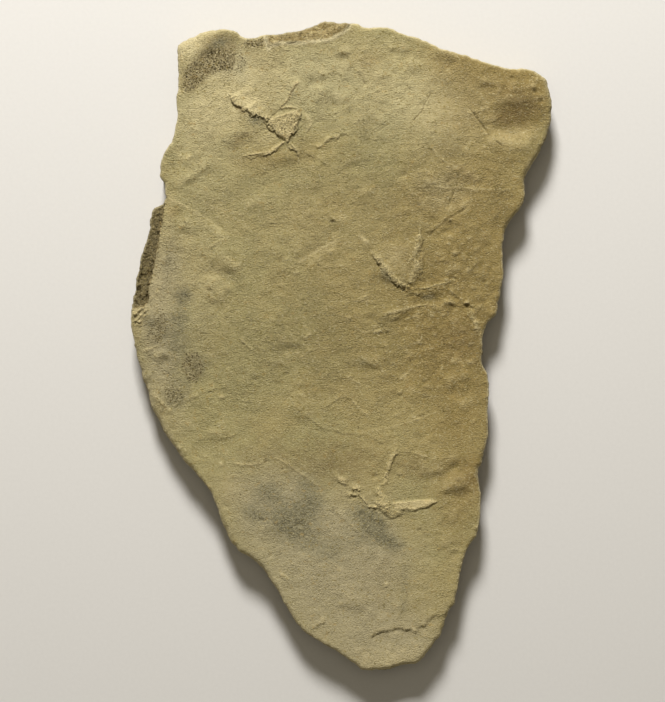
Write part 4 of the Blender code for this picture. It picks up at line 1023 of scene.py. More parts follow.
    def wear_rim(self):
        """Rounds the rim, more where it is worn."""
        width = RIM_ROUNDING + 0.35 * grain(self.xy, 7.0, 47) + 0.2 * grain(self.xy, 2.0, 48)
        for x, y, reach, extra in WORN_RIM:
            width = width + extra * blot(self.xy, x, y, reach, reach, 0.0)
        width = np.maximum(width, 0.35)
        share = np.clip(1.0 - self.rim / width, 0.0, 1.0)
        self.height -= width * (1.0 - np.sqrt(1.0 - share**2 * 0.98))
        wear_and_highlight = np.clip(0.25 + 0.5 * (width - RIM_ROUNDING), 0.0, 1.0) * np.exp(-self.rim / (0.6 * width))
        # Rubbed wear of the rim, with a thin painted highlight right along its edge.
        self.raise_mask("wear_and_highlight", EVERYWHERE, np.maximum(wear_and_highlight, 0.95 * np.exp(-((self.rim / 0.55) ** 2))))

    def stain(self):
        """Lays the stains, films and blooms and the patches of painted shade, and sinks the porous patches.
        """
        for name, spots in STAINS.items():
            for x, y, half_x, half_y, turn, strength in spots:
                self.masks[name] += strength * blot(self.xy, x, y, half_x, half_y, turn)
        for strength, outline in POROUS_PATCH:
            outline = np.asarray(outline, float)
            ragged = 0.5 * grain(self.xy, 1.7, 53) + 0.3 * grain(self.xy, 0.8, 54)
            depth = depth_inside(self.xy, outline) + ragged
            self.raise_mask("porous", EVERYWHERE, strength * smooth(0.5 + depth / 1.6))
        self.height -= 0.25 * self.masks["porous"]

    def level_off(self):
        """Keeps the tallest relief within the stone's thickness."""
        over = self.height - FACE_LEVEL - RELIEF_LIMIT
        held = FACE_LEVEL + RELIEF_LIMIT + RELIEF_SPARE * np.tanh(over / RELIEF_SPARE)
        self.height = np.where(over > 0.0, held, self.height)

    def shape(self):
        """Builds the whole face up, in the order that its features lie over one another."""
        for add, rows in (
            (self.add_swell, SWELLS),
            (self.add_fold, FOLDS),
            (self.add_step, STEPS),
            (self.add_pad, PADS),
            (self.add_toe, TOES),
            (self.add_ridge, RIDGES),
            (self.add_crack, CRACKS),
            (self.add_dot, DOTS),
        ):
            for row in rows:
                add(*row)
        self.scatter_bumps()
        self.scatter_creases()
        self.roughen()
        self.stain()
        self.level_off()
        self.break_flake()
        self.break_chip()
        self.break_ledge()
        self.find_hollows()
        self.wear_rim()
        self.masks["plain"] = 1.0 - self.masks["broken"]


# ---------------------------------------------------------------------------------------------------------
# The stone's mesh.


def cad_outline():
    """The CAD slab's outline at its widest, counter-clockwise, in millimetres."""
    shape = bmesh.new()
    shape.from_mesh(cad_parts[SLAB_NODE].data)
    bmesh.ops.remove_doubles(shape, verts=shape.verts, dist=1e-6)
    cut = bmesh.ops.bisect_plane(
        shape,
        geom=[*shape.verts, *shape.edges, *shape.faces],
        dist=1e-7,
        plane_co=(0.0, 0.0, OUTLINE_CUT * MM),
        plane_no=(0.0, 0.0, 1.0),
        clear_inner=True,
        clear_outer=True,
    )
    verts = [part for part in cut["geom_cut"] if isinstance(part, bmesh.types.BMVert)]
    start = max(verts, key=lambda vert: vert.co.x)
    loop, last, here = [start], None, start
    while True:
        onward = [e.other_vert(here) for e in here.link_edges if e.other_vert(here) is not last]
        last, here = here, onward[0]
        if here is start:
            break
        loop.append(here)
    points = np.array([vert.co[:2] for vert in loop]) / MM
    shape.free()
    x, y = points.T
    turn = np.sum(x * np.roll(y, -1) - y * np.roll(x, -1))
    return points if turn > 0 else points[::-1]


def closed_resample(loop, step):
    """Points at even steps round a closed loop."""
    return even_points(closed(loop), step)[:-1]


def closed_blur(values, reach):
    """Averages round a closed loop, over this many points either way."""
    weights = np.exp(-0.5 * (np.arange(-3 * reach, 3 * reach + 1) / reach) ** 2)
    weights /= weights.sum()
    padded = np.concatenate([values[-3 * reach :], values, values[: 3 * reach]])
    return np.column_stack([np.convolve(column, weights, "valid") for column in padded.T])


def outward(loop):
    """The direction out of a counter-clockwise loop at each of its points."""
    along = np.roll(loop, -1, axis=0) - np.roll(loop, 1, axis=0)
    along /= np.linalg.norm(along, axis=1)[:, None]
    return np.column_stack([along[:, 1], -along[:, 0]])


def broken_outline(step):
    """The slab's outline with the small chips and burrs of a broken edge."""
    fine = closed_resample(cad_outline(), 0.25)
    soft = closed_blur(fine, 3)
    loop = closed_resample(soft, step)
    chips = 0.22 * grain(loop, 2.6, 61) + 0.16 * grain(loop, 1.1, 62) + 0.10 * grain(loop, 0.7, 63)
    normals = outward(closed_blur(loop, 3))
    return loop + normals * (chips + 0.12)[:, None], normals


def fineness(points):
    """How fine the mesh is at each point: 2 on the tracks, 1 along sharp features, 0 elsewhere."""
    sharp = [row[-1] for row in (*STEPS, *CRACKS, *RIDGES)] + [LEDGE_LINE, CHIP_LINE, FLAKE_LINE]
    tracks = [row[-1] for row in (*TOES, *LEDGE_CRACKS, *LEDGE_FLAKES, *STEPS[:TRACK_STEPS])]
    crisp_pads = [outline for _, softness, _, _, outline in PADS if softness < 1.0]
    tracks += [closed(outline) for outline in crisp_pads]
    level = np.zeros(len(points), int)
    for lines, reach, value in ((sharp, 0.8, 1), (tracks, 1.2, 2)):
        for line in lines:
            line = resampled(line, ROUGH_LINE_STEP)
            low, high = line.min(axis=0) - reach, line.max(axis=0) + reach
            near = ((points > low) & (points < high)).all(axis=1)
            chosen = np.flatnonzero(near & (level < value))
            gap, _, _ = from_line(points[chosen], line)
            level[chosen[gap < reach]] = value
    for outline in crisp_pads:
        level[inside(points, np.asarray(outline, float))] = 2
    return level


def face_points(outline, step):
    """Points over the face on even triangle grids, each as close as the features under it need."""
    low, high = outline.min(axis=0), outline.max(axis=0)
    every = []
    for number, spacing in enumerate((step, CRISP_STEP, FINE_STEP)):
        rows = np.arange(low[1], high[1], spacing * math.sqrt(0.75))
        columns = np.arange(low[0], high[0], spacing)
        grid = np.stack(np.meshgrid(columns, rows), -1)
        grid[1::2, :, 0] += spacing / 2
        points = grid.reshape(-1, 2)
        points = points + rng(71 + number).uniform(-0.14, 0.14, points.shape) * spacing
        every.append(points[fineness(points) == number])
    points = np.vstack(every)
    points = points[inside(points, outline)]
    gap, _, _ = from_line(points, closed(outline))
    keep = gap > RIM_CLEAR
    return points[keep], gap[keep]


def triangles(boundary, points):
    """Triangles over a closed boundary and the points inside it, which keep their order."""
    every = np.vstack([boundary, points])
    count = len(boundary)
    edges = [(k, (k + 1) % count) for k in range(count)]
    made = delaunay_2d_cdt([Vector(p) for p in every.tolist()], edges, [], 1, 1e-6)
    if len(made[0]) != len(every):
        raise RuntimeError("the face's points ran into each other")
    order = np.array([source[0] for source in made[3]])
    faces = order[np.array(made[2])]
    a, b, c = (every[faces[:, k]] for k in range(3))
    turn = (b[:, 0] - a[:, 0]) * (c[:, 1] - a[:, 1]) - (b[:, 1] - a[:, 1]) * (c[:, 0] - a[:, 0])
    faces[turn < 0] = faces[turn < 0][:, ::-1]
    return faces


def side_rings(outline, normals, rim_height):
    """Rings of points down the broken side, from below the rim to the back."""
    foot = 1.1 + 0.5 * grain(outline, 6.0, 81)
    lean = 0.9 + 0.9 * grain(outline, 11.0, 82) + 0.5 * grain(outline, 4.0, 83)
    count = int(FACE_LEVEL / RING_STEP)
    rings = []
    for number in range(1, count + 1):
        share = number / count
        height = rim_height * (1.0 - share)
        close = np.clip(1.0 - height / foot, 0.0, 1.0)
        inset = foot * (1.0 - np.sqrt(1.0 - close**2 * 0.99))
        inset = inset + np.maximum(lean, 0.0) * smooth(share / 0.6) * 0.8
        place = outline - normals * inset[:, None]
        rings.append(np.column_stack([place, height]))
    return rings


def back_points(loop):
    """Points over the back, inside its loop, with their heights."""
    low, high = loop.min(axis=0), loop.max(axis=0)
    columns, rows = (np.arange(*ends, BACK_STEP) for ends in zip(low, high))
    grid = np.stack(np.meshgrid(columns, rows), -1).reshape(-1, 2)
    points = grid + rng(91).uniform(-0.8, 0.8, grid.shape)
    points = points[depth_inside(points, loop) > 1.0]
    return points, 0.25 + 0.25 * grain(points, 9.0, 92)


def band(upper, lower):
    """Triangles between two loops of the same count, one below the other."""
    after_upper, after_lower = np.roll(upper, -1), np.roll(lower, -1)
    return np.vstack([
        np.column_stack([upper, lower, after_lower]),
        np.column_stack([upper, after_lower, after_upper]),
    ])


def store_masks(mesh, masks, loops):
    """Keeps the face's masks as attributes of the whole stone, and carries them down its sides."""
    rim, *rings = loops
    for name, values in masks.items():
        whole = np.full(len(mesh.vertices), 0.5 if name == "rough" else 0.0)
        whole[: len(values)] = np.clip(values, 0.0, 1.0)
        for number, ring in enumerate(rings, 1):
            if name in ("broken", "side"):
                whole[ring] = min(1.0, 0.4 + 0.3 * number)
            elif name in ("wear_and_highlight", "grey", "ledge"):
                whole[ring] = whole[rim] * math.exp(-number / 1.5)
        mesh.attributes.new(name, "FLOAT", "POINT").data.foreach_set("value", whole)


def stone_mesh(step):
    """The whole stone: face, sides and back, with the face's masks as attributes."""
    outline, normals = broken_outline(RIM_STEP)
    points, gaps = face_points(outline, step)
    top = np.vstack([outline, points])
    rim = np.concatenate([np.zeros(len(outline)), gaps])
    face = Face(top, rim)
    face.shape()
    rings = side_rings(outline, normals, face.height[: len(outline)])
    back_loop = rings[-1][:, :2]
    back, back_height = back_points(back_loop)

    count, top_count = len(outline), len(top)
    verts = [np.column_stack([top, face.height]), *rings, np.column_stack([back, back_height])]
    loops = [np.arange(count)] + [top_count + count * k + np.arange(count) for k in range(len(rings))]
    faces = [triangles(outline, points)]
    faces += [band(upper, lower) for upper, lower in zip(loops, loops[1:])]
    index = np.concatenate([loops[-1], top_count + count * len(rings) + np.arange(len(back))])
    faces.append(index[triangles(back_loop, back)][:, ::-1])
    verts, faces = np.vstack(verts), np.vstack(faces)

    mesh = bpy.data.meshes.new("stone")
    mesh.from_pydata((verts * MM).tolist(), [], faces.tolist())
    store_masks(mesh, face.masks, loops)
    return mesh


# ---------------------------------------------------------------------------------------------------------
# Weathering and looks.


def add_node(tree, kind, inputs=None, out=0, **settings):
    """Adds a node with its settings, sets or links its inputs, and returns one of its outputs."""
    made = tree.nodes.new(kind)
    for name, value in settings.items():
        setattr(made, name, value)
    for name, value in (inputs or {}).items():
        if isinstance(value, bpy.types.NodeSocket):
            tree.links.new(value, made.inputs[name])
        else:
            made.inputs[name].default_value = value
    return made if out is None else made.outputs[out]


def per_metre(size, stretch):
    """The scale along each axis of a pattern whose size is in millimetres."""
    return tuple(1.0 / (MM * size * each) for each in stretch)


def linear(text):
    """A colour written as sRGB hex, as linear values."""
    parts = [int(text[k : k + 2], 16) / 255 for k in (1, 3, 5)]
    return (*((p / 12.92 if p <= 0.04045 else ((p + 0.055) / 1.055) ** 2.4) for p in parts), 1.0)


# What weathers the stone: name, height in millimetres, the mask that places it, the pattern's size along
# each axis in millimetres, its detail, and what it is.
WEATHERING = [
    ("Bedding Ripple", 0.058, "plain", (4.6, 3.0, 4.0), 2.0, "height of the bedding face's ripples"),
    ("Bedding Grain", 0.105, "plain", (1.9, 1.35, 1.8), 2.0, "height of the bedding face's wrinkled grain"),
    ("Crumb Height", 0.16, "crumb", (0.95, 0.85, 0.9), 2.0, "height of the crumbs on the toes"),
    ("Pore Depth", 0.22, "porous", (0.9, 0.8, 0.8), 2.0, "depth of the pores in the porous patches"),
    ("Ledge Roughness", 0.42, "ledge", (0.75, 0.65, 0.65), 3.0, "how rough the ledge is"),
    ("Break Roughness", 0.85, "broken", (3.2, 3.2, 1.8), 4.0, "how rough the broken sides are"),
    ("Bed Relief", 0.60, "side", (13.0, 13.0, 1.0), 3.0, "how far thin beds stand out of the broken sides"),
]


def weathering_tree():
    """Geometry Nodes that weather the stone: each layer of roughness moves the surface along its normal."""
    tree = bpy.data.node_groups.new("weathered_siltstone", "GeometryNodeTree")
    sockets = tree.interface
    sockets.new_socket("Geometry", in_out="INPUT", socket_type="NodeSocketGeometry")
    for name, height, _, _, _, text in WEATHERING:
        socket = sockets.new_socket(name, in_out="INPUT", socket_type="NodeSocketFloat")
        socket.subtype, socket.default_value, socket.description = "DISTANCE", height * MM, text
    seed = sockets.new_socket("Seed", in_out="INPUT", socket_type="NodeSocketFloat")
    seed.default_value, seed.description = 4.0, "another weathering of the same stone"
    sockets.new_socket("Material", in_out="INPUT", socket_type="NodeSocketMaterial")
    sockets.new_socket("Geometry", in_out="OUTPUT", socket_type="NodeSocketGeometry")
    given = tree.nodes.new("NodeGroupInput").outputs
    place = add_node(tree, "GeometryNodeInputPosition")
    total = 0.0
    for name, _, mask, size, detail, _ in WEATHERING:
        inputs = {0: place, 1: per_metre(1.0, size)}
        scaled = add_node(tree, "ShaderNodeVectorMath", inputs, operation="MULTIPLY")
        inputs = {"Vector": scaled, "W": given["Seed"], "Scale": 1.0, "Detail": detail, "Roughness": 0.6}
        pattern = add_node(tree, "ShaderNodeTexNoise", inputs, noise_dimensions="4D")
        swing = add_node(tree, "ShaderNodeMath", {0: pattern, 1: 2.0, 2: -1.0}, operation="MULTIPLY_ADD")
        where = add_node(tree, "GeometryNodeInputNamedAttribute", {"Name": mask}, data_type="FLOAT")
        share = add_node(tree, "ShaderNodeMath", {0: where, 1: given[name]}, operation="MULTIPLY")
        total = add_node(tree, "ShaderNodeMath", {0: swing, 1: share, 2: total}, operation="MULTIPLY_ADD")
    height = add_node(tree, "ShaderNodeSeparateXYZ", {0: place}, out="Z")
    off_back = add_node(tree, "ShaderNodeMapRange", {"Value": height, 2: 1.2 * MM})
    total = add_node(tree, "ShaderNodeMath", {0: total, 1: off_back}, operation="MULTIPLY")
    normal = add_node(tree, "GeometryNodeInputNormal")
    shift = add_node(tree, "ShaderNodeVectorMath", {0: normal, "Scale": total}, operation="SCALE")
    moved = add_node(tree, "GeometryNodeSetPosition", {"Geometry": given["Geometry"], "Offset": shift})
    real = add_node(tree, "GeometryNodeRealizeInstances", {"Geometry": moved})
    done = add_node(tree, "GeometryNodeSetMaterial", {"Geometry": real, "Material": given["Material"]})
    add_node(tree, "NodeGroupOutput", {"Geometry": done}, out=None)
    return tree


# Colour layers of the face, each over the last: colour, strength, the mask that places it (or none), how
# far noise breaks it up, the noise's size in millimetres, its stretch, its detail, and where it fades in
# and is full. A detail of 0 stands for separate round spots, a size apart, instead of noise.
EVEN = (1.0, 1.0, 1.0)
COLOUR_LAYERS = [
    ("tan", 1.0, None, 1.0, 30.0, EVEN, 3.0, -0.12, 0.14),  # olive drifts to tan over some centimetres
    ("ochre", 0.84, "warm", 0.35, 8.0, EVEN, 4.0, 0.0, 0.9),  # iron stain, in clouds
    ("ochre", 0.22, None, 1.0, 2.6, (1.6, 1.0, 1.0), 4.0, 0.02, 0.3),
    ("ash", 0.95, "ash", 0.45, 7.0, EVEN, 4.0, 0.0, 0.9),  # drab film
    ("groove", 0.11, "hollow_shade", 0.8, 0.9, EVEN, 2.0, 0.0, 1.3),  # painted shade in the hollows of the relief
    ("pale_and_highlight", 0.24, "crest", 0.8, 0.9, EVEN, 2.0, 0.0, 1.3),  # and painted highlights on its high spots
    ("pale_and_highlight", 0.80, "pale_and_highlight", 0.5, 1.2, EVEN, 3.0, 0.05, 0.95),  # bloom on the tracks and paler patches, with painted highlights on the toes, ridges, bumps and step lips
    ("chalk", 0.9, "chalk", 0.12, 5.0, EVEN, 4.0, 0.0, 0.9),  # a thin chalky bloom, over some centimetres
    ("umber_and_shade", 0.62, "umber_and_shade", 0.9, 1.6, EVEN, 4.0, 0.05, 0.95),  # brown film, and painted shade, in the darker places
    ("grey", 0.75, "grey", 0.9, 2.4, EVEN, 5.0, 0.1, 1.15),  # film of fresh rock, broken up by the grain
    ("grey_dark", 0.75, "grey", 2.6, 0.7, EVEN, 2.0, 0.75, 1.5),
    ("porous", 0.80, "porous", 0.5, 1.2, EVEN, 2.0, 0.15, 0.7),  # porous patches, and the pores in them
    ("rubbed_and_highlight", 0.60, "porous", 4.0, 0.50, (1.1, 1.0, 1.0), 2.0, 0.65, 1.1),
    ("pore", 0.90, "porous", 3.0, 0.60, (1.25, 1.0, 1.0), 0.0, 0.62, 1.15),
    ("pore", 0.65, "porous", 4.0, 0.42, EVEN, 2.0, 0.7, 1.15),
    ("crumb", 0.90, "crumb", 4.0, 0.50, EVEN, 2.0, 0.6, 1.25),  # bright crumbs on the tracks, partly painted highlights, and pores and painted shade between them
    ("groove", 0.62, "crumb", 3.0, 0.62, (1.2, 1.0, 1.0), 0.0, 1.3, 1.9),
    ("groove", 0.45, "crumb", 4.0, 0.42, EVEN, 2.0, 1.25, 1.7),
    ("break_light", 1.0, "broken", 0.5, 1.2, EVEN, 2.0, 0.3, 0.7),  # broken rock
    ("break_dark", 0.9, "broken", 1.8, 1.0, (12.0, 12.0, 1.0), 4.0, 0.7, 1.2),  # its darker thin beds
    ("ochre", 0.5, "broken", 1.6, 2.2, EVEN, 4.0, 0.8, 1.2),
    ("crumb", 0.80, "broken", 5.0, 0.9, (1.8, 1.0, 1.0), 3.0, 1.0, 1.7),
    ("groove", 0.85, "broken", 5.0, 0.7, (1.8, 1.0, 1.0), 3.0, 1.2, 1.8),
    ("ledge", 0.9, "ledge", 1.2, 1.2, EVEN, 3.0, 0.5, 1.0),  # the browner lower bed, partly painted shade on the ledge
    ("pore", 0.80, "ledge", 3.6, 0.5, (1.3, 1.0, 1.0), 2.0, 1.05, 1.6),
    ("groove", 0.75, "painted_shade", 0.3, 0.8, EVEN, 2.0, 0.1, 1.0),  # dust and painted shade in the grooves, and painted shadows below the steps and in pits
    ("rubbed_and_highlight", 0.80, "wear_and_highlight", 0.9, 2.4, EVEN, 4.0, 0.15, 0.9),  # rims rubbed pale, and a painted highlight along the rim's very edge
    ("ochre_dust", 0.55, None, 1.0, 1.7, EVEN, 4.0, 0.07, 0.26),  # ochre freckles
    ("speck_dark", 0.76, None, 1.0, 0.60, (1.15, 1.0, 1.0), 2.0, 0.03, 0.24),  # darker grains
    ("speck_light", 0.50, None, 1.0, 0.54, (1.15, 1.0, 1.0), 2.0, 0.03, 0.24),  # and paler ones
    ("groove", 0.46, "rough", 3.0, 0.48, (1.15, 1.0, 1.0), 2.0, 0.95, 1.6),  # coarser grains, wide end
    ("speck_light", 0.62, "rough", 3.0, 0.52, (1.15, 1.0, 1.0), 2.0, 0.95, 1.6),
    ("pore", 0.55, None, 1.0, 1.3, EVEN, 1.0, 0.235, 0.30),  # a few pinholes
]
# Relief finer than the mesh, which is drawn no finer than the render can show: height and size in
# millimetres, stretch, detail, the mask that scales it, and the part of the noise that is kept. Where that
# part runs downwards, it is the noise's peaks that are sunk.
BUMP_LAYERS = [
    (0.52, 1.05, (1.0, 1.1, 1.1), 3.0, "rough", 0.0, 1.0),  # wrinkled grain
    (1.20, 0.38, (1.1, 1.0, 1.0), 2.0, "rough", 0.0, 1.0),  # grains of silt
    (0.10, 2.4, (1.2, 0.9, 1.0), 4.0, "rough", 0.50, 0.57),  # low crisp flakes
    (0.24, 1.1, EVEN, 1.0, "rough", 0.78, 0.70),  # pinholes
    (0.60, 0.40, EVEN, 2.0, "crumb", 0.0, 1.0),  # crumbs
    (1.00, 0.46, EVEN, 2.0, "porous", 0.0, 1.0),  # pores
    (1.50, 0.55, EVEN, 3.0, "broken", 0.0, 1.0),  # rough break
]


def siltstone(colours):
    """Calcareous siltstone, split along a bedding plane and weathered.

    It is fine and dull, with no glint: a tan ground that drifts between olive and ochre, grey films where
    fresh rock shows, dark pores, rims that handling has rubbed and rough ochre breaks, with painted
    highlights on the crests, toes, bumps and rim's edge and painted shade in hollows, grooves, pits and
    below the steps.
    """
    made = bpy.data.materials.new("weathered_siltstone")
    made.use_nodes = True
    tree = made.node_tree
    shader = tree.nodes["Principled BSDF"]
    shader.inputs["Roughness"].default_value = 0.93
    shader.inputs["Metallic"].default_value = 0.0
    shader.inputs["IOR"].default_value = 1.5
    shader.inputs["Specular IOR Level"].default_value = 0.2
    place = add_node(tree, "ShaderNodeTexCoord", out="Object")

    colour = linear(colours.olive)
    for number, layer in enumerate(COLOUR_LAYERS):
        name, strength, mask, breakup, size, stretch, detail, low, high = layer
        inputs = {"Vector": place, "Scale": per_metre(size, stretch), "Location": (number * 7.3, 0.0, 0.0)}
        spot = add_node(tree, "ShaderNodeMapping", inputs)
        if detail:
            inputs = {"Vector": spot, "Scale": 1.0, "Detail": detail, "Roughness": 0.6}
            pattern = add_node(tree, "ShaderNodeTexNoise", inputs)
        else:
            pattern = add_node(tree, "ShaderNodeTexVoronoi", {"Vector": spot, "Scale": 1.0})
            breakup = -breakup
        inputs = {0: pattern, 1: breakup, 2: -0.5 * breakup}
        swing = add_node(tree, "ShaderNodeMath", inputs, operation="MULTIPLY_ADD")
        where = 1.0
        if mask:
            where = add_node(tree, "ShaderNodeAttribute", out="Fac", attribute_name=mask)
            swing = add_node(tree, "ShaderNodeMath", {0: swing, 1: where}, operation="ADD")
            inputs = {0: where, 1: 5.0}
            where = add_node(tree, "ShaderNodeMath", inputs, operation="MULTIPLY", use_clamp=True)
        inputs = {"Value": swing, 1: low, 2: high, 4: strength}
        amount = add_node(tree, "ShaderNodeMapRange", inputs, interpolation_type="SMOOTHSTEP")
        amount = add_node(tree, "ShaderNodeMath", {0: amount, 1: where}, operation="MULTIPLY")
        inputs = {0: amount, 6: colour, 7: linear(getattr(colours, name))}
        colour = add_node(tree, "ShaderNodeMix", inputs, out=2, data_type="RGBA")
    tree.links.new(colour, shader.inputs["Base Color"])

    bump = None
    for number, layer in enumerate(BUMP_LAYERS):
        height, size, stretch, detail, mask, low, high = layer
        inputs = {"Vector": place, "Scale": per_metre(size, stretch), "Location": (number * 9.1, 5.0, 0.0)}
        spot = add_node(tree, "ShaderNodeMapping", inputs)
        inputs = {"Vector": spot, "Scale": 1.0, "Detail": detail, "Roughness": 0.65, "Distortion": 0.25}
        pattern = add_node(tree, "ShaderNodeTexNoise", inputs)
        pattern = add_node(tree, "ShaderNodeMapRange", {"Value": pattern, 1: low, 2: high})
        where = add_node(tree, "ShaderNodeAttribute", out="Fac", attribute_name=mask)
        pattern = add_node(tree, "ShaderNodeMath", {0: pattern, 1: where}, operation="MULTIPLY")
        inputs = {"Strength": 1.0, "Distance": height * MM, "Height": pattern}
        if bump:
            inputs["Normal"] = bump
        bump = add_node(tree, "ShaderNodeBump", inputs)
    tree.links.new(bump, shader.inputs["Normal"])
    return made


def paper_floor(colours):
    """Matt backdrop paper: pale and without any sheen, so that it only carries the stone's shadow."""
    made = bpy.data.materials.new("matt_backdrop_paper")
    made.use_nodes = True
    tree = made.node_tree
    shader = tree.nodes["Principled BSDF"]
    shader.inputs["Roughness"].default_value = 0.95
    shader.inputs["Specular IOR Level"].default_value = 0.1
    place = add_node(tree, "ShaderNodeTexCoord", out="Object")
    fibre = add_node(tree, "ShaderNodeTexNoise", {"Vector": place, "Scale": 900.0, "Detail": 2.0})
    inputs = {0: fibre, 6: linear(colours.floor), 7: linear(colours.floor_light)}
    colour = add_node(tree, "ShaderNodeMix", inputs, out=2, data_type="RGBA")
    tree.links.new(colour, shader.inputs["Base Color"])
    return made


# ---------------------------------------------------------------------------------------------------------
# The add-on.


def hex_prop(name, text, value):
    return bpy.props.StringProperty(name=name, description=text, default=value)


class TrackSlabSizes(bpy.types.PropertyGroup):
    """Sizes of the stone's mesh and weathering."""

    mesh_step: bpy.props.FloatProperty(
        name="Mesh Step",
        description="Spacing of the track face's mesh",
        default=0.6 * MM,
        unit="LENGTH",
        min=0.0,
    )
    relief: bpy.props.FloatProperty(
        name="Relief",
        description="How strong the weathering is",
        default=1.0,
        min=0.0,
        max=2.0,
        subtype="FACTOR",
    )
    seed: bpy.props.IntProperty(
        name="Seed",
        description="Another weathering of the same stone",
        default=4,
        min=0,
    )


class TrackSlabColours(bpy.types.PropertyGroup):
    """Colours of the stone and the stage, as sRGB hex."""

    olive: hex_prop("Olive", "The face where it leans to olive", "#978d61")
    tan: hex_prop("Tan", "The face where it leans to tan", "#9c8e60")
    ochre: hex_prop("Ochre", "Iron stain", "#8a7645")
    # Also the colour of painted highlights on the crests, toes, bumps and step lips.
    pale_and_highlight: hex_prop("Pale", "Bloom on the tracks and rubbed crests", "#c3b283")
    # Partly a painted highlight on the crumbs' lit tops.
    crumb: hex_prop("Crumb", "Crumbs of the tracks", "#cdbb86")
    # Also the painted highlight along the rim's very edge.
    rubbed_and_highlight: hex_prop("Rubbed", "Rims that handling has rubbed", "#c4b78e")
    ash: hex_prop("Ash", "The drab film of the narrow end and the left edge", "#9f9473")
    grey: hex_prop("Grey", "Film of fresh grey rock", "#757057")
    grey_dark: hex_prop("Grey Dark", "The darkest grains of that film", "#544f3a")
    chalk: hex_prop("Chalk", "The chalky bloom of the wide end", "#cdc298")
    # Also painted shade where the face falls away from the light.
    umber_and_shade: hex_prop("Umber", "The brown film of the darker places", "#6b5836")
    porous: hex_prop("Porous", "Walls between the pores", "#958761")
    pore: hex_prop("Pore", "Inside the pores", "#4a3f24")
    speck_dark: hex_prop("Dark Speck", "Darker grains of silt", "#76682f")
    speck_light: hex_prop("Light Speck", "Paler grains of silt", "#c2b68f")
    ochre_dust: hex_prop("Ochre Dust", "Ochre freckles", "#997f47")
    break_dark: hex_prop("Break Dark", "Darker beds in the broken sides", "#8d7a4b")
    break_light: hex_prop("Break Light", "Lighter beds in the broken sides", "#c3ae7a")
    # Darker partly as painted shade on the ledge, which faces away from the light.
    ledge: hex_prop("Ledge", "The ledge of the lower bed", "#7f724e")
    # Also painted shade: shadows below the steps, and shade in the cracks, pits, hollows and gaps between
    # crumbs.
    groove: hex_prop("Groove", "Dust in the grooves", "#574a2a")
    floor: hex_prop("Floor", "The stage", "#c9c6c0")
    floor_light: hex_prop("Floor Light", "The stage's lighter fibres", "#cecbc5")


class SLAB_OT_stone(bpy.types.Operator):
    """Builds the siltstone slab with its three tracks, in place of the plain CAD slab"""

    bl_idname = "track_slab.stone"
    bl_label = "Siltstone Slab"

    def execute(self, context):
        sizes, colours = context.scene.track_slab_sizes, context.scene.track_slab_colours
        rough = bpy.data.objects.new("rough_stone", stone_mesh(sizes.mesh_step / MM))
        context.collection.objects.link(rough)
        tree = weathering_tree()
        weather = rough.modifiers.new("weathering", "NODES")
        weather.node_group = tree
        sockets = {s.name: s.identifier for s in tree.interface.items_tree if s.in_out == "INPUT"}
        for name, height, *_ in WEATHERING:
            weather[sockets[name]] = height * MM * sizes.relief
        weather[sockets["Seed"]] = float(sizes.seed)
        weather[sockets["Material"]] = siltstone(colours)
        graph = context.evaluated_depsgraph_get()
        mesh = bpy.data.meshes.new_from_object(
            rough.evaluated_get(graph), preserve_all_data_layers=True, depsgraph=graph
        )
        bpy.data.objects.remove(rough)
        mesh.shade_smooth()
        mesh.name = "siltstone_slab"
        slab = bpy.data.objects.new("siltstone_slab", mesh)
        context.collection.objects.link(slab)
        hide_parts(SLAB_NODE)
        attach(slab, "root")
        return {"FINISHED"}


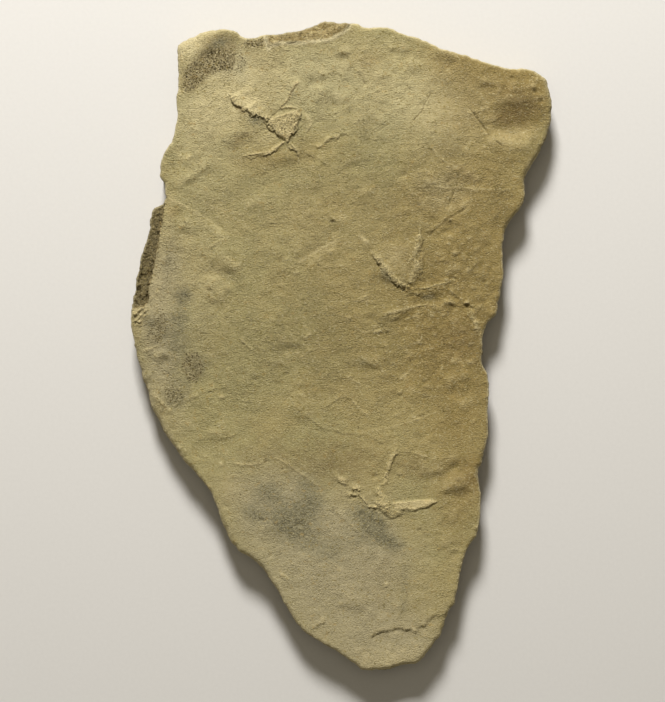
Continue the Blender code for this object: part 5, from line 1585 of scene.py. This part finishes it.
class SLAB_OT_stage(bpy.types.Operator):
    """Builds the pale floor, the soft lights and the camera that looks straight down on the slab"""

    bl_idname = "track_slab.stage"
    bl_label = "Stage"

    def execute(self, context):
        self.add_floor(context)
        self.add_lights(context)
        self.add_camera(context)
        return {"FINISHED"}

    def add_floor(self, context):
        shape = bmesh.new()
        bmesh.ops.create_grid(shape, x_segments=8, y_segments=8, size=FLOOR_HALF)
        mesh = bpy.data.meshes.new("floor")
        shape.to_mesh(mesh)
        shape.free()
        mesh.materials.append(paper_floor(context.scene.track_slab_colours))
        floor = bpy.data.objects.new("floor", mesh)
        context.collection.objects.link(floor)

    def add_lights(self, context):
        """A large soft light low beyond the wide end, which rakes the face, and a weak one overhead."""
        face = Vector((0.0, 0.0, FACE_LEVEL * MM))
        for name, place, size, power, tint in LIGHTS:
            data = bpy.data.lights.new(name, "AREA")
            data.shape = "SQUARE"
            data.size = size
            data.energy = power
            data.color = tint
            lamp = bpy.data.objects.new(name, data)
            lamp.location = place
            lamp.rotation_euler = (face - lamp.location).to_track_quat("-Z", "Y").to_euler()
            context.collection.objects.link(lamp)
        world = bpy.data.worlds.new("studio_air")
        world.use_nodes = True
        background = world.node_tree.nodes["Background"]
        background.inputs["Color"].default_value = AIR_TINT
        background.inputs["Strength"].default_value = AIR_STRENGTH
        context.scene.world = world
        context.scene.view_settings.view_transform = "Standard"

    def add_camera(self, context):
        data = bpy.data.cameras.new("camera")
        data.sensor_width = SENSOR
        data.lens = SENSOR * CAMERA_HEIGHT / VIEW_HEIGHT
        data.clip_start = 0.01
        data.clip_end = 10.0
        camera = bpy.data.objects.new("camera", data)
        x, y = VIEW_CENTRE
        camera.location = (x * MM, y * MM, (FACE_LEVEL + CAMERA_HEIGHT) * MM)
        context.collection.objects.link(camera)
        context.scene.camera = camera


class SLAB_PT_panel(bpy.types.Panel):
    """Lists the slab's sizes, colours and builders"""

    bl_label = "Fossil Track Slab"
    bl_idname = "SLAB_PT_panel"
    bl_space_type = "VIEW_3D"
    bl_region_type = "UI"
    bl_category = "Track Slab"

    def draw(self, context):
        layout = self.layout
        for group in (context.scene.track_slab_sizes, context.scene.track_slab_colours):
            box = layout.box()
            for name in type(group).__annotations__:
                box.prop(group, name)
        for operator in BUILDERS:
            layout.operator(operator.bl_idname)


BUILDERS = (SLAB_OT_stone, SLAB_OT_stage)
CLASSES = (TrackSlabSizes, TrackSlabColours, *BUILDERS, SLAB_PT_panel)


def register():
    for each in CLASSES:
        bpy.utils.register_class(each)
    bpy.types.Scene.track_slab_sizes = bpy.props.PointerProperty(type=TrackSlabSizes)
    bpy.types.Scene.track_slab_colours = bpy.props.PointerProperty(type=TrackSlabColours)


def unregister():
    del bpy.types.Scene.track_slab_colours
    del bpy.types.Scene.track_slab_sizes
    for each in reversed(CLASSES):
        bpy.utils.unregister_class(each)


def main():
    register()
    bpy.ops.track_slab.stone()
    bpy.ops.track_slab.stage()


if __name__ == "__main__":
    main()
